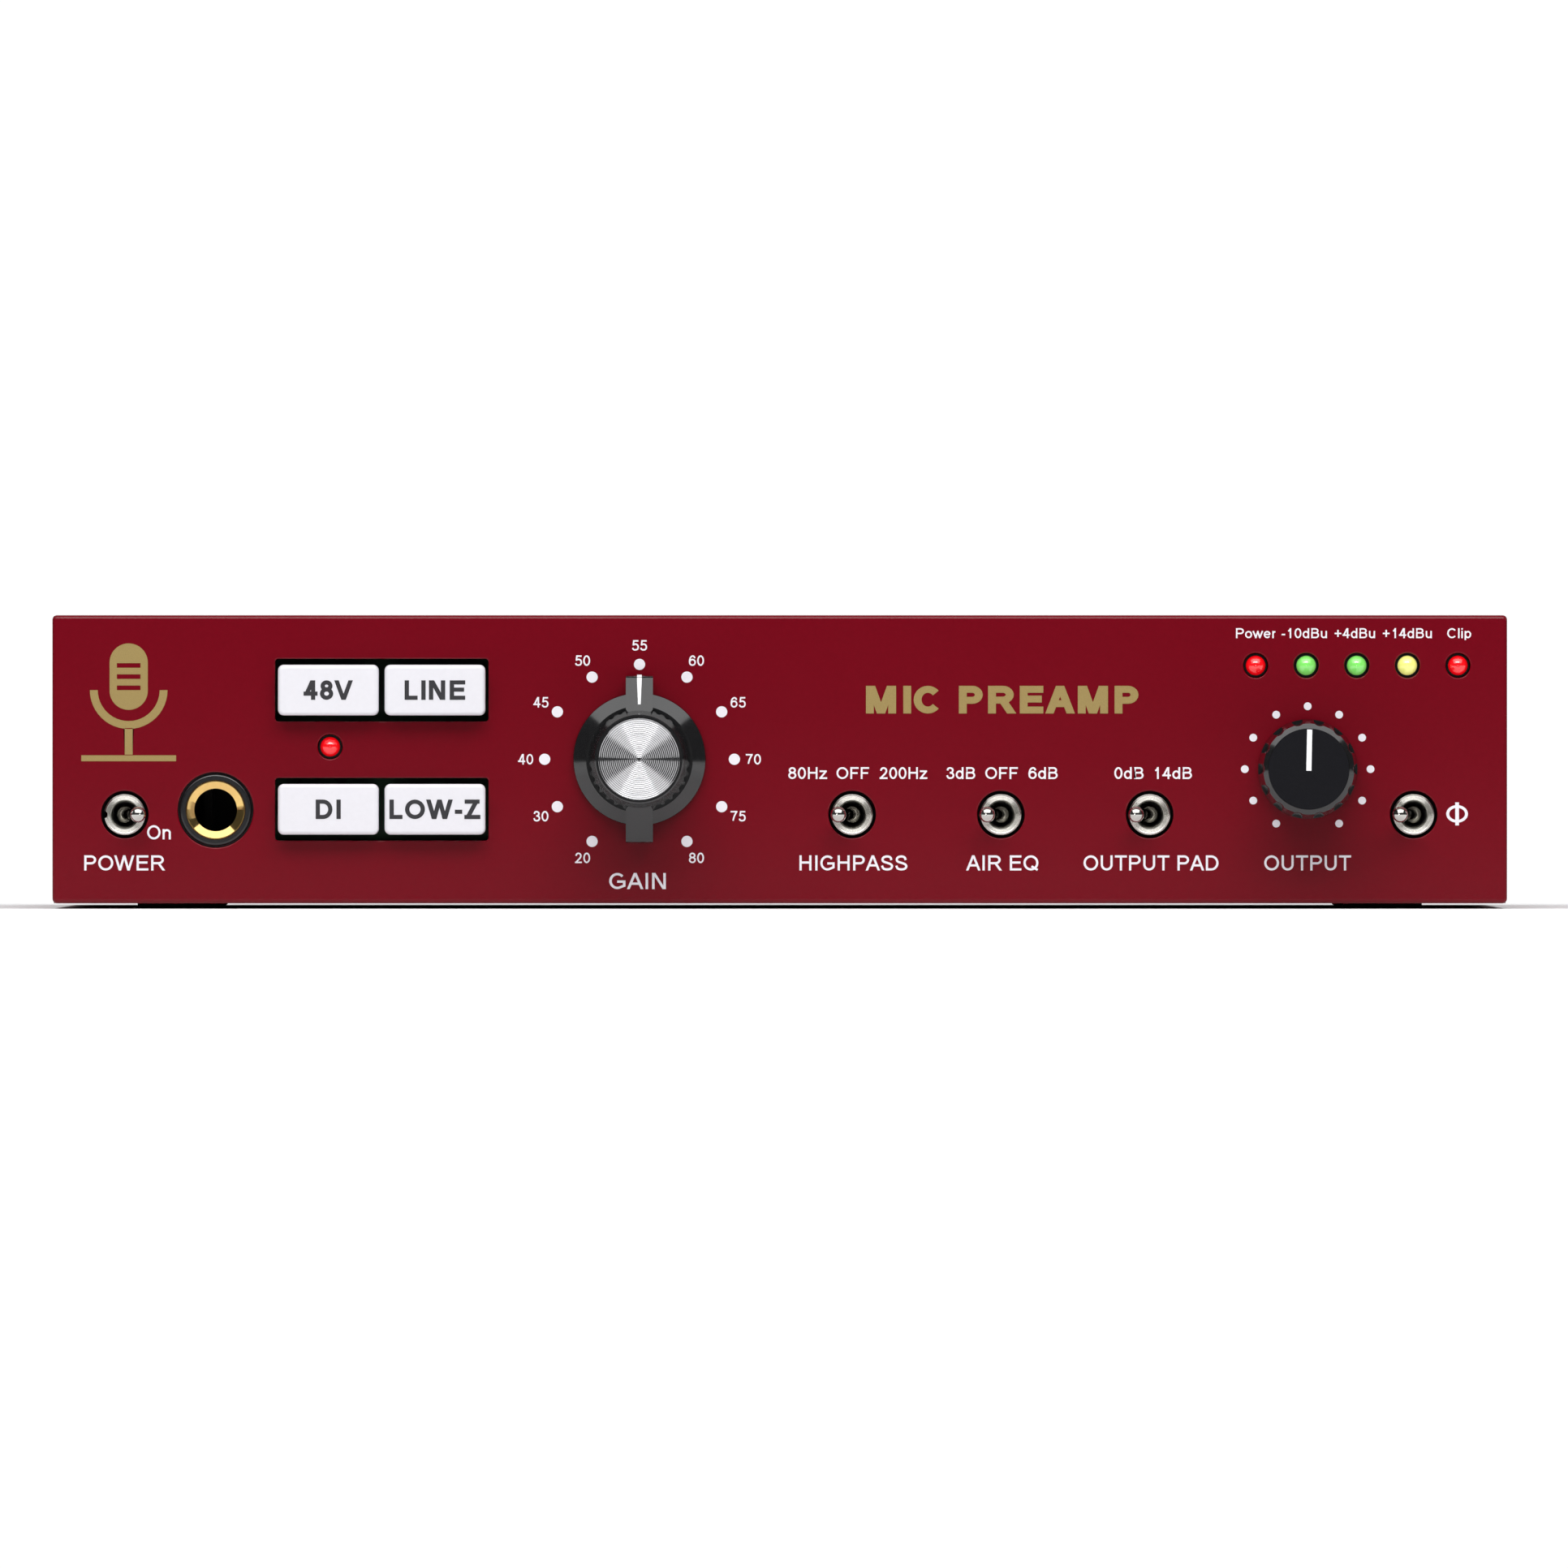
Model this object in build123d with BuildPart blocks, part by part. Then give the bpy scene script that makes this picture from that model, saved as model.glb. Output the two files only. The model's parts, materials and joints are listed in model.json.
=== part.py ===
from build123d import *
import math
import os

# A half-rack, one-unit microphone preamp, all sizes in millimetres.
# Frame: X runs along the front panel, the front panel faces -Y, +Z is up.
# The origin lies on the table, under the middle of the whole object's box.

os.makedirs("parts", exist_ok=True)

# ---- Driving dimensions of the enclosure ----
panel_width = 221.0
panel_height = 43.8
body_depth = 180.0
front_reach = 17.0  # from the panel's face to the front of the gain knob
rear_reach = 5.5  # from the rear panel to the ends of the rear jacks
foot_gap = 0.8  # from the table to the panel's lower edge
skin = 1.5  # sheet of the front panel, cover and rear panel
tray_sheet = 1.2
pan_depth = 12.0  # depth of the folded front panel
slip = 0.1  # clearance between nested sheets
seam = 0.3
bend = 0.7  # outside radius of the folded edges
cover_bend = 1.4

front_y = front_reach - (front_reach + body_depth + rear_reach) / 2
rear_y = front_y + body_depth
bottom_z = foot_gap
top_z = bottom_z + panel_height
mid_z = bottom_z + panel_height / 2

tray_width = panel_width - 2 * (skin + slip)
tray_bottom_z = bottom_z + skin
tray_top_z = top_z - skin - slip
floor_z = tray_bottom_z + tray_sheet  # top of the tray's floor
rear_width = tray_width - 2 * (tray_sheet + slip)

# Local x and y of panel_face are X and Z from the middle of the panel, and its z points out
# at the user. rear_face is the same for someone who looks at the back, so its x runs to -X.
panel_face = Plane(origin=(0, front_y, mid_z), x_dir=(1, 0, 0), z_dir=(0, -1, 0))
rear_face = Plane(origin=(0, rear_y, mid_z), x_dir=(-1, 0, 0), z_dir=(0, 1, 0))

# ---- Places of the controls on the front panel, from its middle ----
toggle_row = -8.4
power_toggle_x = -99.5
filter_toggle_x = 11.0  # first of three toggles that stand side by side
filter_toggle_pitch = 22.6
phase_toggle_x = 96.3
toggle_hole = 3.6
jack_x, jack_y = -85.7, -7.7
jack_hole = 5.75

button_pair_x = -60.45
button_pitch = 16.2
button_rows = (10.5, -7.6)
window_width, window_height, window_corner = 32.4, 9.5, 0.5

gain_x, gain_y = -21.3, 0.0
output_x, output_y = 80.2, -1.5
led_hole = 1.9
phantom_led = (-68.3, 1.9)
meter_led_x, meter_led_y, meter_led_pitch, meter_led_count = 72.3, 14.25, 7.68, 5

toggles = {
    "power": power_toggle_x,
    "highpass": filter_toggle_x,
    "air": filter_toggle_x + filter_toggle_pitch,
    "pad": filter_toggle_x + 2 * filter_toggle_pitch,
    "phase": phase_toggle_x,
}
buttons = {
    "phantom": (button_pair_x - button_pitch / 2, button_rows[0]),
    "line": (button_pair_x + button_pitch / 2, button_rows[0]),
    "di": (button_pair_x - button_pitch / 2, button_rows[1]),
    "low_z": (button_pair_x + button_pitch / 2, button_rows[1]),
}
meter_leds = [(meter_led_x + i * meter_led_pitch, meter_led_y) for i in range(meter_led_count)]

# ---- Depths behind the panel's face ----
board_sheet = 1.6
control_board_depth = 20.0
switch_front_depth = 8.0  # fronts of the toggle cases and of the rotary switch

# ---- Sizes of the fasteners, all M3 ----
shank = 1.45
tapped = 1.5
clear_hole = 1.7
head_radius, head_depth = 2.7, 1.25  # of a countersunk head
head_inset = 0.1


def save(part, name):
    """Labels a finished piece and writes its STEP."""
    part.label = name
    export_step(part, f"parts/{name}.step")


def turned(face, place, profile):
    """A solid of revolution that stands on a face plane. The profile's points are its radius
    and its height above the face; place is the axis's x and y on that plane."""
    foot = face.from_local_coords(Vector(place[0], place[1], 0))
    with BuildPart() as piece:
        with BuildSketch(Plane(origin=foot, x_dir=face.x_dir, z_dir=-face.y_dir)):
            with BuildLine():
                Polyline(*profile, close=True)
            make_face()
        revolve(axis=Axis(foot, face.z_dir))
    return piece.part


def level(low, high, outer, inner=0.0):
    """Profile of a plain ring or disc between two heights, for turned()."""
    return [(inner, low), (outer, low), (outer, high), (inner, high)]


# =====================================================================
# Enclosure
# =====================================================================
chassis_screw_x = 80.0
front_screw_y = front_y + pan_depth - 5
under_front = [
    Plane(origin=(x, front_screw_y, bottom_z), z_dir=(0, 0, -1))
    for x in (-chassis_screw_x, chassis_screw_x)
]
with BuildPart() as front_panel:
    with BuildSketch(panel_face):
        RectangleRounded(panel_width, panel_height, bend)
    extrude(amount=-pan_depth)
    fillet(front_panel.faces().sort_by(Axis.Y)[0].edges(), bend * 0.95)
    with BuildSketch(panel_face.offset(-skin)):
        Rectangle(panel_width - 2 * skin, panel_height - 2 * skin)
    extrude(amount=-pan_depth, mode=Mode.SUBTRACT)
    with BuildSketch(panel_face):
        with Locations(*[(x, toggle_row) for x in toggles.values()]):
            Circle(toggle_hole)
        with Locations((jack_x, jack_y)):
            Circle(jack_hole)
        with Locations(*[(button_pair_x, y) for y in button_rows]):
            RectangleRounded(window_width, window_height, window_corner)
        with Locations((gain_x, gain_y)):
            Circle(4.8)
        with Locations((output_x, output_y)):
            Circle(3.8)
        with Locations(phantom_led, *meter_leds):
            Circle(led_hole)
    extrude(amount=-2 * skin, mode=Mode.SUBTRACT)
    front_face = front_panel.faces().sort_by(Axis.Y)[0]
    fillet([e for hole in front_face.inner_wires() for e in hole.edges()], 0.2)
    with Locations(*under_front):
        CounterSinkHole(clear_hole, head_radius + 0.1, depth=2 * skin)
save(front_panel.part, "front_panel")

tray_front_y = front_y + skin + slip
tray_length = rear_y - tray_front_y
rear_screw_y = rear_y - 7

# Standoffs carry the main board; their places are used by the tray, the board and the screws.
main_board_width, main_board_length = 206.0, 104.0
main_board_y = front_y + 94
tongue_width, tongue_length = 80.0, 18.0  # reaches forward to the control board
standoff_height = 6.0
board_z = floor_z + standoff_height
board_top_z = board_z + board_sheet
standoff_places = [
    (x, main_board_y + y) for x in (-96.0, 0.0, 96.0) for y in (-45.0, 45.0)
]

side_screw_depths = (24.0, 95.0, 166.0)  # from the panel's face
side_screw_z = mid_z + 8
with BuildPart() as bottom_tray:
    with BuildSketch(Plane.XZ.offset(-tray_front_y)):
        with Locations((0, (tray_bottom_z + tray_top_z) / 2)):
            Rectangle(tray_width, tray_top_z - tray_bottom_z)
    extrude(amount=-tray_length)
    folds = bottom_tray.edges().filter_by(Axis.Y).group_by(Axis.Z)[0]
    fillet(folds, cover_bend)
    with BuildSketch(Plane.XZ.offset(-tray_front_y + 1)):
        with Locations((0, floor_z + panel_height / 2)):
            Rectangle(tray_width - 2 * tray_sheet, panel_height)
    extrude(amount=-tray_length - 2, mode=Mode.SUBTRACT)
    with BuildSketch(Plane.XY.offset(tray_bottom_z - 1)):
        with Locations(*standoff_places):
            Circle(clear_hole)
        with Locations((0, front_screw_y), (0, rear_screw_y)):
            with GridLocations(2 * chassis_screw_x, 0, 2, 1):
                Circle(tapped)
    extrude(amount=4, mode=Mode.SUBTRACT)
    with BuildSketch(Plane.YZ.offset(-panel_width / 2)):
        with Locations(*[(front_y + d, side_screw_z) for d in side_screw_depths]):
            Circle(tapped)
    extrude(amount=panel_width, mode=Mode.SUBTRACT)
save(bottom_tray.part, "bottom_tray")

cover_front_y = front_y + pan_depth + seam
vent_columns, vent_rows, vent_length, vent_width = 14, 2, 16.0, 2.0
vent_pitch_x, vent_pitch_y = 6.0, 24.0
vent_y = rear_y - 60
with BuildPart() as top_cover:
    with BuildSketch(Plane.XZ.offset(-cover_front_y)):
        with Locations((0, mid_z)):
            Rectangle(panel_width, panel_height)
    extrude(amount=-(rear_y - cover_front_y))
    fillet(top_cover.edges().filter_by(Axis.Y).group_by(Axis.Z)[-1], cover_bend)
    with BuildSketch(Plane.XZ.offset(-cover_front_y + 1)):
        with Locations((0, mid_z - skin)):
            Rectangle(panel_width - 2 * skin, panel_height)
    extrude(amount=-body_depth, mode=Mode.SUBTRACT)
    with BuildSketch(Plane.XY.offset(top_z + 1)):
        with Locations((0, vent_y)):
            with GridLocations(vent_pitch_x, vent_pitch_y, vent_columns, vent_rows):
                SlotOverall(vent_length, vent_width, rotation=90)
    extrude(amount=-4, mode=Mode.SUBTRACT)
    with Locations(
        *[
            Plane(
                origin=(side * panel_width / 2, front_y + d, side_screw_z), z_dir=(side, 0, 0)
            )
            for side in (-1, 1)
            for d in side_screw_depths
        ]
    ):
        CounterSinkHole(clear_hole, head_radius + 0.1, depth=2 * skin)
save(top_cover.part, "top_cover")

# Rear panel: a shallow pan whose flanges point forwards, inside the tray's walls.
rear_pan_depth = 10.0
rear_bottom_z = floor_z + slip
rear_top_z = top_z - skin - slip
xlr_in_x, xlr_out_x = -72.0, 32.0
line_in_x, insert_x, line_out_x = -44.0, -22.0, 0.0
inlet_x = 82.0
connector_y = 0.6
rear_jack_places = [(x, connector_y) for x in (line_in_x, insert_x, line_out_x)]
xlr_hole = 11.9
xlr_bore = 9.7
latch_width, latch_height = 6.4, 2.2
latch_y = connector_y + xlr_bore + 1.3
jack_nose = 4.5
flange_width, flange_height = 26.0, 31.0
flange_screw_x, flange_screw_y = 9.5, 12.0
flange_screw_places = [
    (x + side * flange_screw_x, connector_y + side * flange_screw_y)
    for x in (xlr_in_x, xlr_out_x)
    for side in (-1, 1)
]
with BuildPart() as rear_panel:
    with BuildSketch(Plane.XZ.offset(-rear_y)):
        with Locations((0, (rear_bottom_z + rear_top_z) / 2)):
            RectangleRounded(rear_width, rear_top_z - rear_bottom_z, bend)
    extrude(amount=rear_pan_depth)
    with BuildSketch(Plane.XZ.offset(-rear_y + skin)):
        with Locations((0, (rear_bottom_z + rear_top_z) / 2)):
            Rectangle(rear_width - 2 * skin, rear_top_z - rear_bottom_z - 2 * skin)
    extrude(amount=rear_pan_depth, mode=Mode.SUBTRACT)
    with BuildSketch(rear_face):
        with Locations((xlr_in_x, connector_y), (xlr_out_x, connector_y)):
            Circle(xlr_hole)
        with Locations(*rear_jack_places):
            Circle(jack_nose + 0.2)
        with Locations((inlet_x, connector_y)):
            Circle(5.7)
        with Locations(*flange_screw_places):
            Circle(tapped)
        with Locations((xlr_in_x, latch_y)):
            Rectangle(latch_width + 0.8, latch_height + 0.8)
    extrude(amount=-2 * skin, mode=Mode.SUBTRACT)
    with BuildSketch(Plane.XY.offset(rear_bottom_z - 1)):
        with Locations((0, rear_screw_y)):
            with GridLocations(2 * chassis_screw_x, 0, 2, 1):
                Circle(tapped)
    extrude(amount=3, mode=Mode.SUBTRACT)
save(rear_panel.part, "rear_panel")

# ---- Screws: each is made once, pointing along -Z with its seat at the origin ----
socket = 1.0
with BuildPart() as flat_screw:
    with BuildSketch(Plane.XZ):
        with BuildLine():
            Polyline(
                (0, 0),
                (head_radius, 0),
                (shank, -head_depth),
                (shank, -5.5),
                (0, -5.5),
                close=True,
            )
        make_face()
    revolve(axis=Axis.Z)
    with BuildSketch(Plane.XY):
        RegularPolygon(socket, 6)
    extrude(amount=-0.9, mode=Mode.SUBTRACT)

with BuildPart() as pan_screw:
    Cylinder(2.6, 1.5, align=(Align.CENTER, Align.CENTER, Align.MIN))
    fillet(pan_screw.edges().group_by(Axis.Z)[-1], 0.7)
    with BuildSketch(Plane.XY.offset(1.5)):
        RegularPolygon(socket, 6)
    extrude(amount=-0.9, mode=Mode.SUBTRACT)
    Cylinder(shank, 4.2, align=(Align.CENTER, Align.CENTER, Align.MAX))

with BuildPart() as cover_screws:
    with Locations(
        *[
            Plane(
                origin=(side * (panel_width / 2 - head_inset), front_y + d, side_screw_z),
                z_dir=(side, 0, 0),
            )
            for side in (-1, 1)
            for d in side_screw_depths
        ]
    ):
        add(flat_screw.part)
save(cover_screws.part, "cover_screws")

with BuildPart() as chassis_screws:
    with Locations(
        *[
            Plane(origin=(x, rear_screw_y, tray_bottom_z), z_dir=(0, 0, -1))
            for x in (-chassis_screw_x, chassis_screw_x)
        ]
    ):
        add(pan_screw.part)
    with Locations(*[plane.offset(-head_inset) for plane in under_front]):
        add(flat_screw.part)
save(chassis_screws.part, "chassis_screws")

foot_radius = 6.0
foot_places = [(x, front_y + d) for x in (-92.0, 92.0) for d in (28.0, body_depth - 20.0)]
with BuildPart() as rubber_feet:
    with BuildSketch(Plane.XY):
        with Locations(*foot_places):
            Circle(foot_radius)
    extrude(amount=tray_bottom_z)
    fillet(rubber_feet.edges().group_by(Axis.Z)[0], 0.6)
save(rubber_feet.part, "rubber_feet")

# =====================================================================
# Toggle switches
# =====================================================================
lever_pivot_depth = 4.5
lever_tip_radius = 1.2
lever_neck = 0.85
lever_ball_reach = 9.7  # from the pivot to the middle of the lever's round end
lever_tilt = 12.5
bushing_radius = 3.1
bushing_proud = 0.3
pivot_ball = 1.5


def toggle_lever(x, side):
    """The bat lever of one toggle, leaning to side -1 or 1 about a vertical pivot."""
    pivot = panel_face.from_local_coords(Vector(x, toggle_row, -lever_pivot_depth))
    lean = math.radians(lever_tilt) * side
    out = Vector(math.sin(lean), -math.cos(lean), 0)
    up = Vector(0, 0, 1)
    with BuildPart() as lever:
        with BuildSketch(Plane(origin=pivot, x_dir=up, z_dir=up.cross(out))):
            Circle(pivot_ball)
            with Locations((0, lever_ball_reach)):
                Circle(lever_tip_radius)
            with BuildLine():
                Polyline(
                    (-0.75, -4.0),
                    (0.75, -4.0),
                    (lever_neck, 0),
                    (lever_neck, 5.6),
                    (lever_tip_radius - 0.05, lever_ball_reach - 0.4),
                    (0.05 - lever_tip_radius, lever_ball_reach - 0.4),
                    (-lever_neck, 5.6),
                    (-lever_neck, 0),
                    close=True,
                )
            make_face()
            with Locations((-5, lever_ball_reach / 2)):
                Rectangle(10, 30, mode=Mode.SUBTRACT)
        revolve(axis=Axis(pivot, out))
    return lever.part


for name, x in toggles.items():
    save(toggle_lever(x, 1 if name == "power" else -1), f"{name}_toggle_lever")

mouth_profile = [
    (2.2, bushing_proud),
    (bushing_radius - 0.25, bushing_proud),
    (bushing_radius, bushing_proud - 0.25),
    (bushing_radius, -switch_front_depth),
    (1.75, -switch_front_depth),
    (1.75, -lever_pivot_depth),
    (2.02, bushing_proud - 0.2),
]
with BuildPart() as toggle_bushings:
    for x in toggles.values():
        add(turned(panel_face, (x, toggle_row), mouth_profile))
    with BuildSketch(panel_face.offset(bushing_proud)):
        with Locations(*[(x - bushing_radius, toggle_row) for x in toggles.values()]):
            Rectangle(1.0, 0.9)
    extrude(amount=-6, mode=Mode.SUBTRACT)
save(toggle_bushings.part, "toggle_bushings")

case_width, case_height, case_depth = 8.0, 12.6, 9.4
with BuildPart() as toggle_cases:
    with BuildSketch(panel_face.offset(-switch_front_depth)):
        with Locations(*[(x, toggle_row + 0.4) for x in toggles.values()]):
            RectangleRounded(case_width, case_height, 0.6)
    extrude(amount=-case_depth)
    with BuildSketch(panel_face.offset(-switch_front_depth)):
        with Locations(*[(x, toggle_row) for x in toggles.values()]):
            Rectangle(4.4, 3.2)
    extrude(amount=-2.6, mode=Mode.SUBTRACT)
    with BuildSketch(panel_face.offset(-switch_front_depth - case_depth)):
        with Locations(*[(x, toggle_row) for x in toggles.values()]):
            with GridLocations(4.8, 4.8, 2, 3):
                Rectangle(0.6, 1.2)
    extrude(amount=-(control_board_depth - switch_front_depth - case_depth) - 3.2)
save(toggle_cases.part, "toggle_cases")

# =====================================================================
# Push buttons
# =====================================================================
cap_width, cap_height, cap_depth = 15.3, 7.7, 8.0
cap_proud = 3.6
cap_corner = 0.9
stem_side = 3.0
stem_front = 1.2  # front end of the stem, behind the panel's face
stem_back = 15.4
switch_side, switch_depth = 7.6, 9.0

for name, place in buttons.items():
    with BuildPart() as cap:
        with BuildSketch(panel_face.offset(cap_proud)):
            with Locations(place):
                RectangleRounded(cap_width, cap_height, cap_corner)
        extrude(amount=-cap_depth)
        fillet(cap.faces().sort_by(Axis.Y)[0].edges(), 0.6)
        with BuildSketch(panel_face.offset(cap_proud - cap_depth)):
            with Locations(place):
                Rectangle(cap_width - 2.4, cap_height - 2.4)
                Rectangle(stem_side + 2.4, cap_height - 2.4, mode=Mode.SUBTRACT)
                Rectangle(stem_side + 0.04, stem_side + 0.04)
        extrude(amount=cap_depth - cap_proud - stem_front, mode=Mode.SUBTRACT)
    save(cap.part, f"{name}_button_cap")
    with BuildPart() as stem:
        with BuildSketch(panel_face.offset(-stem_front)):
            with Locations(place):
                Rectangle(stem_side, stem_side)
        extrude(amount=-(stem_back - stem_front))
        chamfer(stem.faces().sort_by(Axis.Y)[-1].edges(), 0.3)
    save(stem.part, f"{name}_button_stem")

with BuildPart() as push_switch_bodies:
    switch_back = panel_face.offset(-control_board_depth)
    with BuildSketch(switch_back):
        with Locations(*buttons.values()):
            Rectangle(switch_side, switch_side)
    extrude(amount=switch_depth)
    with BuildSketch(switch_back.offset(1.2)):
        with Locations(*buttons.values()):
            Rectangle(stem_side + 0.5, stem_side + 0.5)
    extrude(amount=switch_depth, mode=Mode.SUBTRACT)
    with BuildSketch(switch_back):
        with Locations(*buttons.values()):
            with GridLocations(5.0, 2.4, 2, 3):
                Rectangle(0.5, 0.8)
    extrude(amount=-3.4)
save(push_switch_bodies.part, "push_switch_bodies")

# =====================================================================
# Gain switch and knob
# =====================================================================
shaft_radius = 3.0
bore_gap = 0.03
skirt_base = 1.0  # gap between the panel and the knob's skirt
skirt_radius = 10.1
body_base, body_top = 2.9, front_reach
body_radius = 7.8
gain_flutes = 32
disc_radius = 6.2
disc_sheet = 0.6
pointer_width, pointer_reach, pointer_top = 4.1, 12.8, 8.6
wing_start, wing_slope = 7.2, 31.0  # the pointer's ends slope back towards the panel

wing_drop = (pointer_reach - wing_start) * math.tan(math.radians(wing_slope))
gain_foot = panel_face.from_local_coords(Vector(gain_x, gain_y, 0))
with BuildPart() as pointer:
    with BuildSketch(Plane(origin=gain_foot, x_dir=(0, 0, 1), z_dir=(1, 0, 0))):
        with BuildLine():
            Polyline(
                (-pointer_reach, skirt_base),
                (pointer_reach, skirt_base),
                (pointer_reach - 0.2, pointer_top - wing_drop),
                (wing_start, pointer_top),
                (-wing_start, pointer_top),
                (0.2 - pointer_reach, pointer_top - wing_drop),
                close=True,
            )
        wing_face = make_face()
        fillet(wing_face.vertices().group_by(Axis.Y)[1], 0.8)
    extrude(amount=pointer_width / 2, both=True)
    chamfer(pointer.faces().sort_by(Axis.X)[0].edges().group_by(Axis.Y)[0], 0.25)
    chamfer(pointer.faces().sort_by(Axis.X)[-1].edges().group_by(Axis.Y)[0], 0.25)

with BuildPart() as gain_knob:
    with BuildSketch(Plane(origin=gain_foot, x_dir=(1, 0, 0), z_dir=(0, 0, -1))):
        with BuildLine():
            Polyline(
                (0, skirt_base + 2.4),
                (6.2, skirt_base + 2.4),
                (6.2, skirt_base),
                (skirt_radius, skirt_base),
                (skirt_radius - 0.1, skirt_base + 0.6),
                (body_radius + 0.3, body_base),
                (body_radius, body_base),
                (disc_radius + 0.55, body_top - 0.2),
                (disc_radius + 0.35, body_top),
                (0, body_top),
                close=True,
            )
        make_face()
    revolve(axis=Axis(gain_foot, panel_face.z_dir))
    with BuildSketch(panel_face.offset(body_base)):
        with Locations((gain_x, gain_y)):
            with PolarLocations(body_radius + 0.15, gain_flutes):
                Circle(0.6)
    extrude(amount=body_top, mode=Mode.SUBTRACT)
    add(pointer.part)
    with BuildSketch(panel_face.offset(body_top)):
        with Locations((gain_x, gain_y)):
            Circle(disc_radius + 0.05)
    extrude(amount=-disc_sheet, mode=Mode.SUBTRACT)
    with BuildSketch(panel_face):
        with Locations((gain_x, gain_y)):
            Circle(5.2)
    extrude(amount=skirt_base + 2.4, mode=Mode.SUBTRACT)
    with BuildSketch(panel_face):
        with Locations((gain_x, gain_y)):
            Circle(shaft_radius + bore_gap)
    extrude(amount=body_top - 3.0, mode=Mode.SUBTRACT)
save(gain_knob.part, "gain_knob")

save(
    turned(
        panel_face,
        (gain_x, gain_y),
        level(body_top - disc_sheet, body_top, disc_radius),
    ),
    "gain_knob_disc",
)

gain_bushing_radius = 4.5
wafer_depths = (26.0, 34.0)
wafer_radius = 14.0
wafer_sheet = 1.4
shaft_back = 37.0
save(
    turned(
        panel_face,
        (gain_x, gain_y),
        level(-shaft_back, body_top - 3.2, shaft_radius),
    ),
    "gain_shaft",
)
with BuildPart() as gain_switch_body:
    with BuildSketch(panel_face.offset(-switch_front_depth)):
        with Locations((gain_x, gain_y)):
            Circle(13.0)
    extrude(amount=-(control_board_depth - switch_front_depth))
    fillet(gain_switch_body.faces().sort_by(Axis.Y)[0].edges(), 1.0)
    with BuildSketch(panel_face.offset(-switch_front_depth)):
        with Locations((gain_x, gain_y)):
            Circle(gain_bushing_radius)
    extrude(amount=switch_front_depth + 0.6)
    with BuildSketch(panel_face.offset(1)):
        with Locations((gain_x, gain_y)):
            Circle(shaft_radius + 0.05)
    extrude(amount=-control_board_depth - 2, mode=Mode.SUBTRACT)
save(gain_switch_body.part, "gain_switch_body")

with BuildPart() as gain_switch_wafers:
    for depth in wafer_depths:
        with BuildSketch(panel_face.offset(-depth)):
            with Locations((gain_x, gain_y)):
                Circle(wafer_radius)
                Circle(shaft_radius + 0.6, mode=Mode.SUBTRACT)
                with PolarLocations(wafer_radius, 12):
                    Circle(1.0, mode=Mode.SUBTRACT)
        extrude(amount=-wafer_sheet)
    with BuildSketch(panel_face.offset(-control_board_depth - board_sheet)):
        with Locations((gain_x, gain_y)):
            with GridLocations(20, 0, 2, 1):
                Circle(1.6)
    extrude(amount=-(wafer_depths[-1] + wafer_sheet + 1 - control_board_depth - board_sheet))
save(gain_switch_wafers.part, "gain_switch_wafers")

# =====================================================================
# Output level pot and knob
# =====================================================================
lobes = 14
lobe_flare = 1.8  # keeps the lobes as deep at the narrower front end
grip_radius, shoulder_radius = 7.6, 6.9
output_top = 14.0
output_cap_radius, output_cap_sheet = 6.1, 0.8
output_foot = panel_face.from_local_coords(Vector(output_x, output_y, 0))
with BuildPart() as output_knob:
    with BuildSketch(Plane(origin=output_foot, x_dir=(1, 0, 0), z_dir=(0, 0, -1))):
        with BuildLine():
            Polyline(
                (shaft_radius + bore_gap, skirt_base + 1.4),
                (5.2, skirt_base + 1.4),
                (5.2, skirt_base),
                (grip_radius, skirt_base),
                (shoulder_radius, output_top - 0.45),
                (output_cap_radius + 0.05, output_top),
                (output_cap_radius + 0.05, output_top - output_cap_sheet),
                (shaft_radius + bore_gap, output_top - output_cap_sheet),
                close=True,
            )
        make_face()
    revolve(axis=Axis(output_foot, panel_face.z_dir))
    with BuildSketch(panel_face.offset(skirt_base + 1.2)):
        with Locations((output_x, output_y)):
            with PolarLocations(grip_radius + 0.45, lobes, start_angle=90 + 180 / lobes):
                Circle(1.0)
    extrude(amount=output_top, taper=-lobe_flare, mode=Mode.SUBTRACT)
save(output_knob.part, "output_knob")

save(
    turned(
        panel_face,
        (output_x, output_y),
        level(output_top - output_cap_sheet, output_top, output_cap_radius),
    ),
    "output_knob_cap",
)

pot_radius = 8.2
pot_front_depth = 12.0
save(
    turned(
        panel_face,
        (output_x, output_y),
        level(-pot_front_depth - 4, output_top - output_cap_sheet - 0.1, shaft_radius),
    ),
    "output_shaft",
)
with BuildPart() as output_pot_body:
    with BuildSketch(panel_face.offset(-pot_front_depth)):
        with Locations((output_x, output_y)):
            Circle(pot_radius)
    extrude(amount=-(control_board_depth - pot_front_depth))
    with BuildSketch(panel_face.offset(-pot_front_depth)):
        with Locations((output_x, output_y)):
            Circle(3.5)
    extrude(amount=pot_front_depth + 0.6)
    with BuildSketch(panel_face.offset(1)):
        with Locations((output_x, output_y)):
            Circle(shaft_radius + 0.05)
    extrude(amount=-(pot_front_depth + 5.2), mode=Mode.SUBTRACT)
save(output_pot_body.part, "output_pot_body")

# =====================================================================
# Indicator lamps
# =====================================================================
lamp_radius = 1.5
lamp_proud = 0.7


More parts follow.
